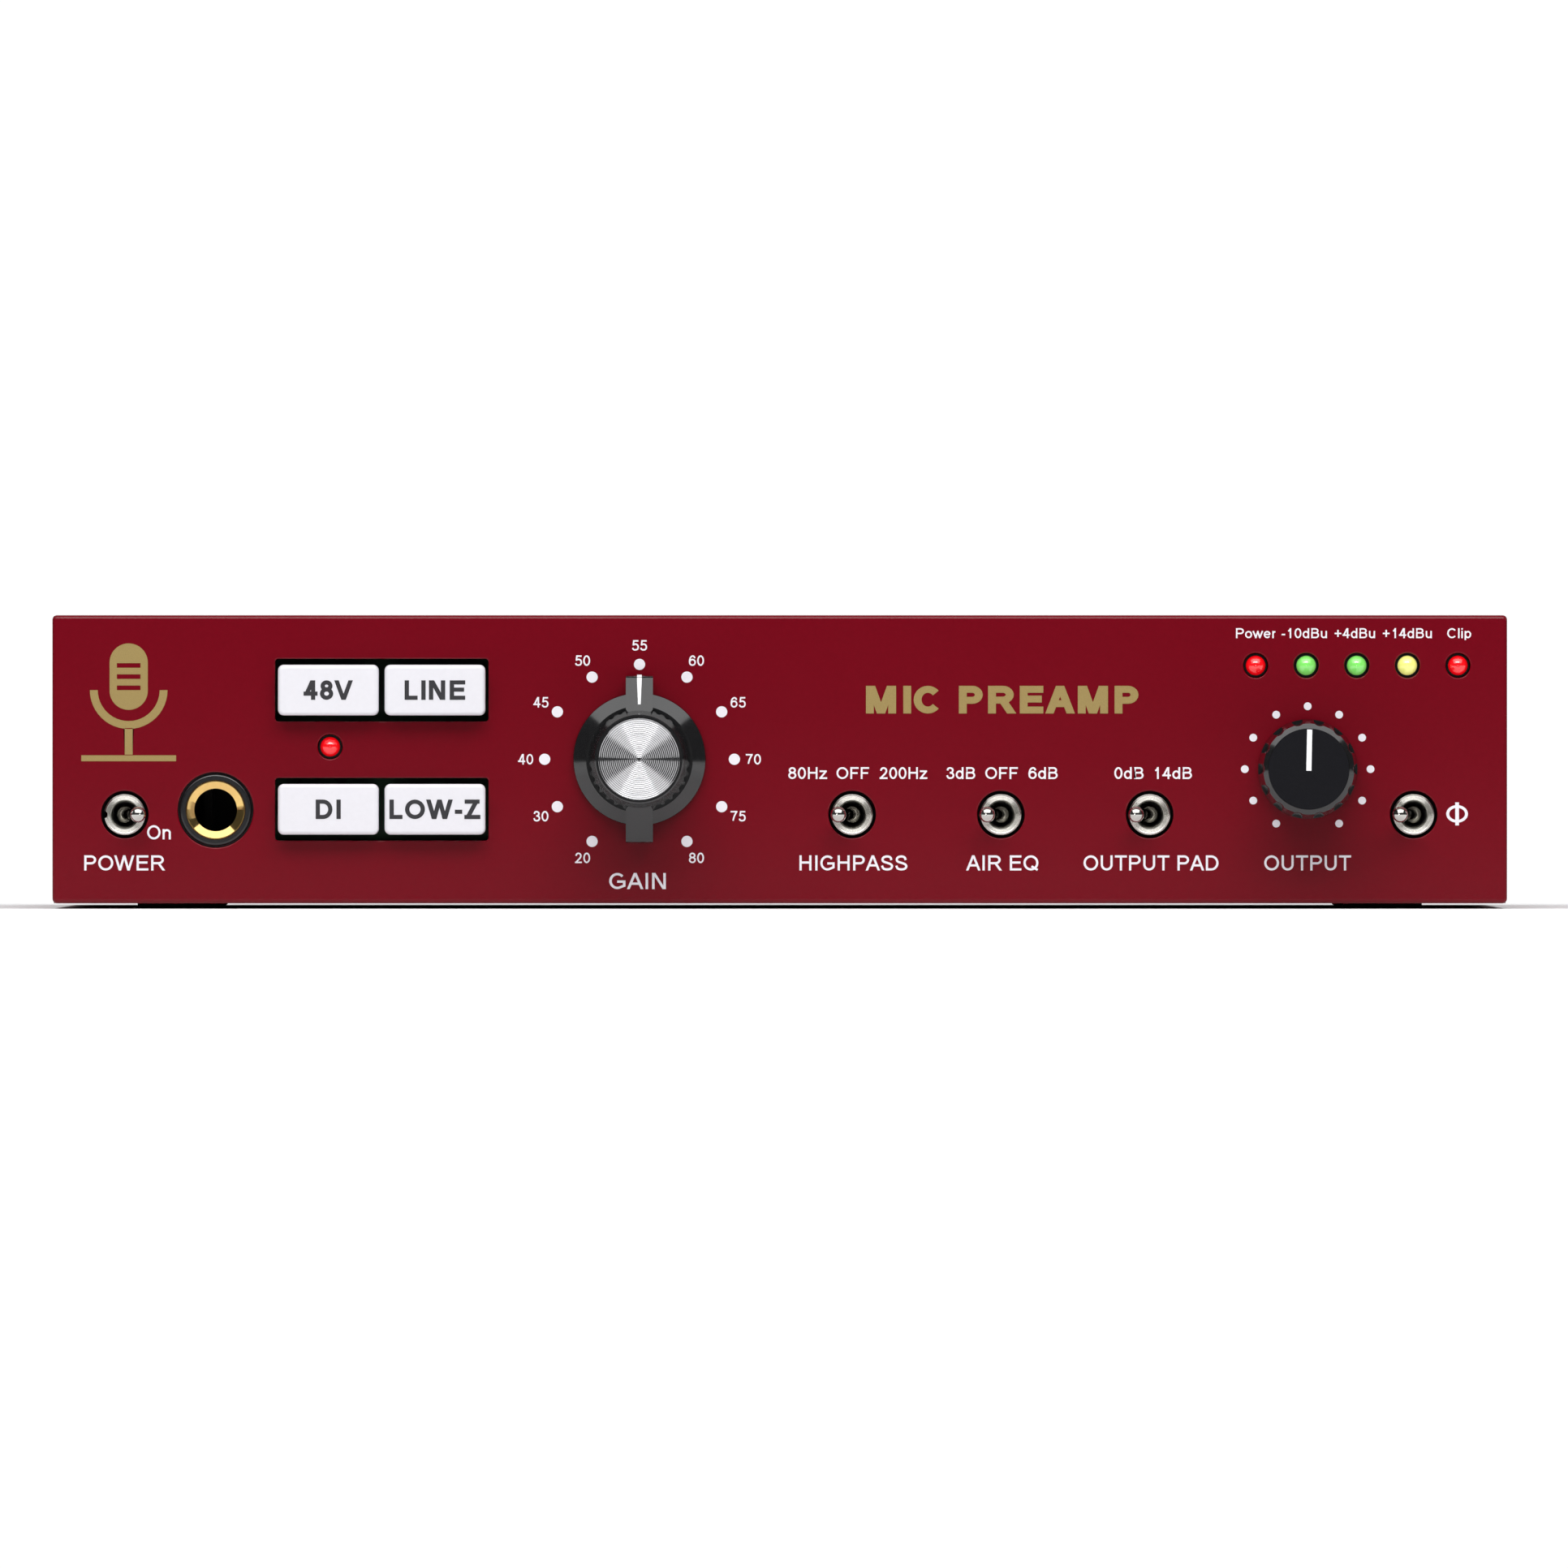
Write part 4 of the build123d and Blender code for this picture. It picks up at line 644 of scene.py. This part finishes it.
def add_legends():
    """The white and gold prints on the front panel."""
    white = finish_of("print_white", (0.80, 0.77, 0.82), 0.5, spread=0.02, scale=6000)
    gold = finish_of("print_gold", (0.30, 0.215, 0.07), 0.42, spread=0.14, scale=9000)
    grey = finish_of("print_grey", (0.019, 0.018, 0.022), 0.5, spread=0.1, scale=6000)

    toggle = {name[: -len("_toggle")]: spot for name, spot in joint_at.items() if name.endswith("_toggle")}
    toggle_z = toggle["power"].z - mid_z
    below = toggle_z - 7.35 * mm
    above = toggle_z + 6.3 * mm
    gain, output = joint_at["gain_turn"], joint_at["output_turn"]
    gain_z = gain.z - mid_z
    lamp_flange = 1.8 * mm  # its radius
    yellow_low, yellow_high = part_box("yellow_lamp")
    yellow_x = (yellow_low.x + yellow_high.x) / 2
    lamp_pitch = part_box("red_lamps")[1].x - lamp_flange - yellow_x
    lamp_x = [yellow_x + lamp_pitch * (i - 3) for i in range(5)]
    lamp_text_z = (yellow_low.z + yellow_high.z) / 2 - mid_z + 4.9 * mm

    # words, x and z in metres, then their width and the capitals' height in millimetres
    prints = [
        ("POWER", toggle["power"].x, below, 12.3, 2.30),
        ("On", toggle["power"].x + 5.2 * mm, toggle_z - 2.7 * mm, 3.6, 2.15),
        ("GAIN", gain.x - 0.3 * mm, gain_z - 18.5 * mm, 8.6, 2.45),
        ("80Hz", toggle["highpass"].x - 6.75 * mm, above, 5.9, 1.80),
        ("OFF", toggle["highpass"].x + 0.1 * mm, above, 4.95, 1.80),
        ("200Hz", toggle["highpass"].x + 7.8 * mm, above, 7.25, 1.80),
        ("3dB", toggle["air"].x - 6.1 * mm, above, 4.4, 1.80),
        ("OFF", toggle["air"].x + 0.1 * mm, above, 4.95, 1.80),
        ("6dB", toggle["air"].x + 6.4 * mm, above, 4.45, 1.80),
        ("0dB", toggle["pad"].x - 3.15 * mm, above, 4.45, 1.80),
        ("14dB", toggle["pad"].x + 3.6 * mm, above, 5.65, 1.80),
        ("HIGHPASS", toggle["highpass"].x + 0.2 * mm, below, 16.4, 2.30),
        ("AIR EQ", toggle["air"].x + 0.2 * mm, below, 11.0, 2.30),
        ("OUTPUT PAD", toggle["pad"].x + 0.2 * mm, below, 20.5, 2.30),
        ("OUTPUT", output.x, below, 13.2, 2.30),
        ("Power", lamp_x[0], lamp_text_z, 6.0, 1.52),
        ("-10dBu", lamp_x[1] - 0.3 * mm, lamp_text_z, 6.9, 1.52),
        ("+4dBu", lamp_x[2] - 0.3 * mm, lamp_text_z, 6.15, 1.52),
        ("+14dBu", lamp_x[3], lamp_text_z, 7.45, 1.52),
        ("Clip", lamp_x[4] + 0.2 * mm, lamp_text_z, 3.65, 1.52),
    ]
    numbers = (20, 30, 40, 45, 50, 55, 60, 65, 70, 75, 80)
    for number, (x, z) in zip(numbers, scale_spots(17.3 * mm)):
        prints.append((str(number), gain.x + x, gain_z + z, 2.3, 1.60))
    for count, (words, x, z, width, height) in enumerate(prints):
        name = f"legend_{count:02d}"
        mesh = text_mesh(name, words, width * mm, height * mm)
        place_piece(name, mesh, white, on_face(x, z), "chassis")

    scale_dots("gain_dots", gain, 14.41 * mm, 1.7 * mm, white)
    scale_dots("output_dots", output, 9.55 * mm, 1.18 * mm, white)

    # The ring's hole would cut the bar, so the phase mark is a ring and a bar laid on each other.
    phase_spot = on_face(toggle["phase"].x + 6.6 * mm, toggle_z + 0.1 * mm)
    ring = plate_mesh("phase_ring", [oval_outline(1.65 * mm, 1.33 * mm)], [oval_outline(1.2 * mm, 0.92 * mm)])
    bar = plate_mesh("phase_bar", [bar_outline(-0.28 * mm, -1.75 * mm, 0.28 * mm, 1.75 * mm)])
    place_piece("phase_ring", ring, white, phase_spot, "chassis")
    place_piece("phase_bar", bar, white, phase_spot + Vector((0, -0.01 * mm, 0)), "chassis")

    mesh = text_mesh("title", "MIC PREAMP", 41.4 * mm, 4.2 * mm, 0.25)
    place_piece("title", mesh, gold, on_face(toggle["air"].x + 0.2 * mm, 9.05 * mm), "chassis")
    place_piece("emblem", emblem_mesh(), gold, on_face(toggle["power"].x + 0.6 * mm, 8.7 * mm), "chassis")

    caps = {"phantom": ("48V", 7.5), "line": ("LINE", 9.2), "di": ("DI", 3.8), "low_z": ("LOW-Z", 13.8)}
    for key, (words, width) in caps.items():
        low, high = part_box(f"{key}_button_cap")
        spot = Vector(((low.x + high.x) / 2, low.y - print_height / 2, (low.z + high.z) / 2))
        mesh = text_mesh(f"{key}_print", words, width * mm, 2.95 * mm, 0.21)
        place_piece(f"{key}_print", mesh, grey, spot, f"{key}_button")


def emblem_mesh():
    """A plain microphone: a striped capsule in a cradle on a stem and a foot."""
    half, top, low = 2.9 * mm, 8.9 * mm, -1.2 * mm
    capsule = arc(0, top - half, half, half, 0, 180, 24) + arc(0, low + half, half, half, 180, 360, 24)
    slots = [
        bar_outline(-half * 0.62, low + (3.0 + 1.7 * i) * mm, half * 0.62, low + (3.7 + 1.7 * i) * mm)
        for i in range(3)
    ]
    cradle = arc_band(4.7 * mm, 5.9 * mm, 180, 360, (0, 1.8 * mm))
    stem = bar_outline(-0.6 * mm, -8.0 * mm, 0.6 * mm, -3.95 * mm)
    foot = bar_outline(-7.2 * mm, -9.0 * mm, 7.2 * mm, -8.1 * mm)
    return plate_mesh("emblem", [capsule, cradle, stem, foot], slots)


def add_rear_legends():
    """The white prints under the rear sockets."""
    white = bpy.data.materials["print_white"]
    words = {
        "mic_input": ("MIC IN", 9.0),
        "line_input_jack": ("LINE IN", 10.0),
        "insert_jack": ("INSERT", 10.0),
        "line_output_jack": ("LINE OUT", 12.5),
        "output_xlr": ("OUTPUT", 11.0),
        "power_socket": ("POWER", 10.0),
    }
    for mount, (legend, width) in words.items():
        spot = Vector((mount_at[mount].x, rear_y + print_height / 2, mid_z - 17.3 * mm))
        mesh = text_mesh(f"{mount}_print", legend, width * mm, 1.9 * mm)
        place_piece(f"{mount}_print", mesh, white, spot, "chassis", rear_turn)


# ---------------------------------------------------------------- marks on the knobs
def add_knob_marks():
    """The white lines on the two knobs."""
    mark = finish_of("mark_white", (0.84, 0.84, 0.86), 0.4, spread=0.02, scale=5000)
    gain, output = joint_at["gain_turn"], joint_at["output_turn"]

    cap_low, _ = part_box("output_knob_cap")
    line = plate_mesh("output_line", [bar_outline(-0.39 * mm, -0.25 * mm, 0.39 * mm, 6.0 * mm)])
    tilt = Matrix.Rotation(math.radians(1.2), 4, "Y")
    spot = Vector((output.x, cap_low.y - print_height / 2, output.z))
    place_piece("output_line", line, mark, spot, "output_control", tilt @ front_turn)

    # The gain pointer's inlay runs out along the sloped wing, round its tip and down its end.
    knob_low, knob_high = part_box("gain_knob")
    tip = (knob_high.z - knob_low.z) / 2
    top_y, wing_start, line_start = gain.y - 8.6 * mm, 7.2 * mm, 8.3 * mm
    slope = math.tan(math.radians(31))
    tip_drop = (tip - wing_start) * slope
    round_off, proud = 0.55 * mm, 0.02 * mm
    path = [
        (line_start, (line_start - wing_start) * slope),
        (tip - 0.2 * mm - round_off, tip_drop - round_off * slope - 0.1 * mm),
        (tip - 0.2 * mm - round_off * 0.25, tip_drop + 0.02 * mm),
        (tip - 0.05 * mm, tip_drop + round_off),
        (tip + 0.02 * mm, tip_drop + 2.4 * mm),
    ]
    shape = bmesh.new()
    rows = []
    for count, (reach, drop) in enumerate(path):
        half = (0.36 if count else 0.2) * mm
        y, z = top_y + drop - proud, gain.z + reach + proud
        rows.append([shape.verts.new((side * half, y, z)) for side in (-1, 1)])
    for a, b in zip(rows, rows[1:]):
        shape.faces.new((a[0], a[1], b[1], b[0]))
    bmesh.ops.translate(shape, verts=shape.verts, vec=(gain.x, 0, 0))
    bmesh.ops.recalc_face_normals(shape, faces=shape.faces)
    mesh = bpy.data.meshes.new("gain_line")
    shape.to_mesh(mesh)
    piece = bpy.data.objects.new("gain_line", mesh)
    bpy.context.scene.collection.objects.link(piece)
    dress(piece, mark)
    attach(piece, "gain_control")


def add_lathe(shape, centre, profile, segments, ring=False, keyway=0.0):
    """Turns a profile of radii and depths about an axis along Y. A ring's profile closes on itself; a
    keyway is the radius that a narrow slot on the -X side is cut down to, along the front 6.3 mm."""
    slot_cosine, slot_length = -0.985, 6.3 * mm
    rings = []
    for reach, depth in profile:
        loop_verts = []
        for i in range(segments):
            angle = 2 * math.pi * i / segments
            slot = keyway and math.cos(angle) < slot_cosine and depth < slot_length
            radius = min(reach, keyway) if slot else reach
            x, z = radius * math.cos(angle), radius * math.sin(angle)
            loop_verts.append(shape.verts.new((centre.x + x, centre.y + depth, centre.z + z)))
        rings.append(loop_verts)
    pairs = list(zip(rings, rings[1:]))
    if ring:
        pairs.append((rings[-1], rings[0]))
    else:
        shape.faces.new(rings[0])
        shape.faces.new(rings[-1])
    for a, b in pairs:
        for i in range(segments):
            j = (i + 1) % segments
            shape.faces.new((a[i], a[j], b[j], b[i]))


def turned_piece(name, shape, made, body, node):
    """Finishes a turned piece that stands for a CAD node."""
    bmesh.ops.recalc_face_normals(shape, faces=shape.faces)
    mesh = bpy.data.meshes.new(name)
    shape.to_mesh(mesh)
    mesh.shade_smooth()
    mesh.set_sharp_from_angle(angle=math.radians(25))
    piece = bpy.data.objects.new(name, mesh)
    bpy.context.scene.collection.objects.link(piece)
    dress(piece, made)
    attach(piece, body)
    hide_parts(node)


def add_spun_disc():
    """The gain knob's inlay, turned with fine concentric grooves."""
    low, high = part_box("gain_knob_disc")
    centre = (low + high) / 2
    radius, thickness = (high.x - low.x) / 2, high.y - low.y
    pitch, rim = 0.29 * mm, 0.12 * mm
    steep, shallow = (pitch / 4 * math.tan(math.radians(angle)) for angle in (38, 26))
    sinks = (0.0, shallow, shallow + steep, shallow)
    grooves = int((radius - rim) / pitch)
    profile = [(radius, thickness), (radius, 0.04 * mm), (radius - rim / 2, 0.0)]
    for i in range(4 * grooves + 1):
        profile.append((radius - rim - i * pitch / 4, sinks[i % 4]))
    shape = bmesh.new()
    add_lathe(shape, Vector((centre.x, low.y, centre.z)), profile, 160)
    pale, ring_pitch, ring_depth = (0.50, 0.50, 0.51), 0.07 * mm, 0.0006 * mm
    metal = rings_of("spun_aluminium", pale, 0.09, ring_pitch, ring_depth, joint_at["gain_turn"])
    turned_piece("spun_disc", shape, metal, "gain_control", "gain_knob_disc")


def add_bushings():
    """The toggles' threaded bushings, with turned faces and a keyway."""
    low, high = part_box("toggle_bushings")
    length = high.y - low.y
    outer, face_outer, face_inner, bore = 3.1 * mm, 2.86 * mm, 2.24 * mm, 1.75 * mm
    thread, thread_depth = 0.7 * mm, 0.2 * mm
    ridges = 5
    ridge = (face_outer - face_inner) / ridges
    profile = [(bore, length), (outer, length)]
    turns = int((length - 0.5 * mm) / thread)
    for i in range(turns):
        deep = length - (i + 0.5) * thread
        profile += [(outer - thread_depth, deep), (outer, deep - thread / 2)]
    profile += [(outer, 0.26 * mm), (face_outer, 0.02 * mm)]
    for i in range(ridges):
        reach = face_outer - i * ridge
        profile += [(reach - ridge / 2, 0.045 * mm), (reach - ridge, 0.0)]
    profile += [(2.05 * mm, 0.22 * mm), (bore, 4.8 * mm)]
    shape = bmesh.new()
    for name, spot in joint_at.items():
        if name.endswith("_toggle"):
            add_lathe(shape, Vector((spot.x, low.y, spot.z)), profile, 72, ring=True, keyway=2.62 * mm)
    metal = finish_of("turned_nickel", (0.62, 0.61, 0.57), 0.24, metallic=1.0, spread=0.12, scale=4000)
    turned_piece("bushings", shape, metal, "chassis", "toggle_bushings")


bpy.context.scene.view_settings.view_transform = "Standard"
add_camera()
add_world()
add_floor()
add_lights()
dress_nodes()
add_legends()
add_rear_legends()
add_knob_marks()
add_spun_disc()
add_bushings()
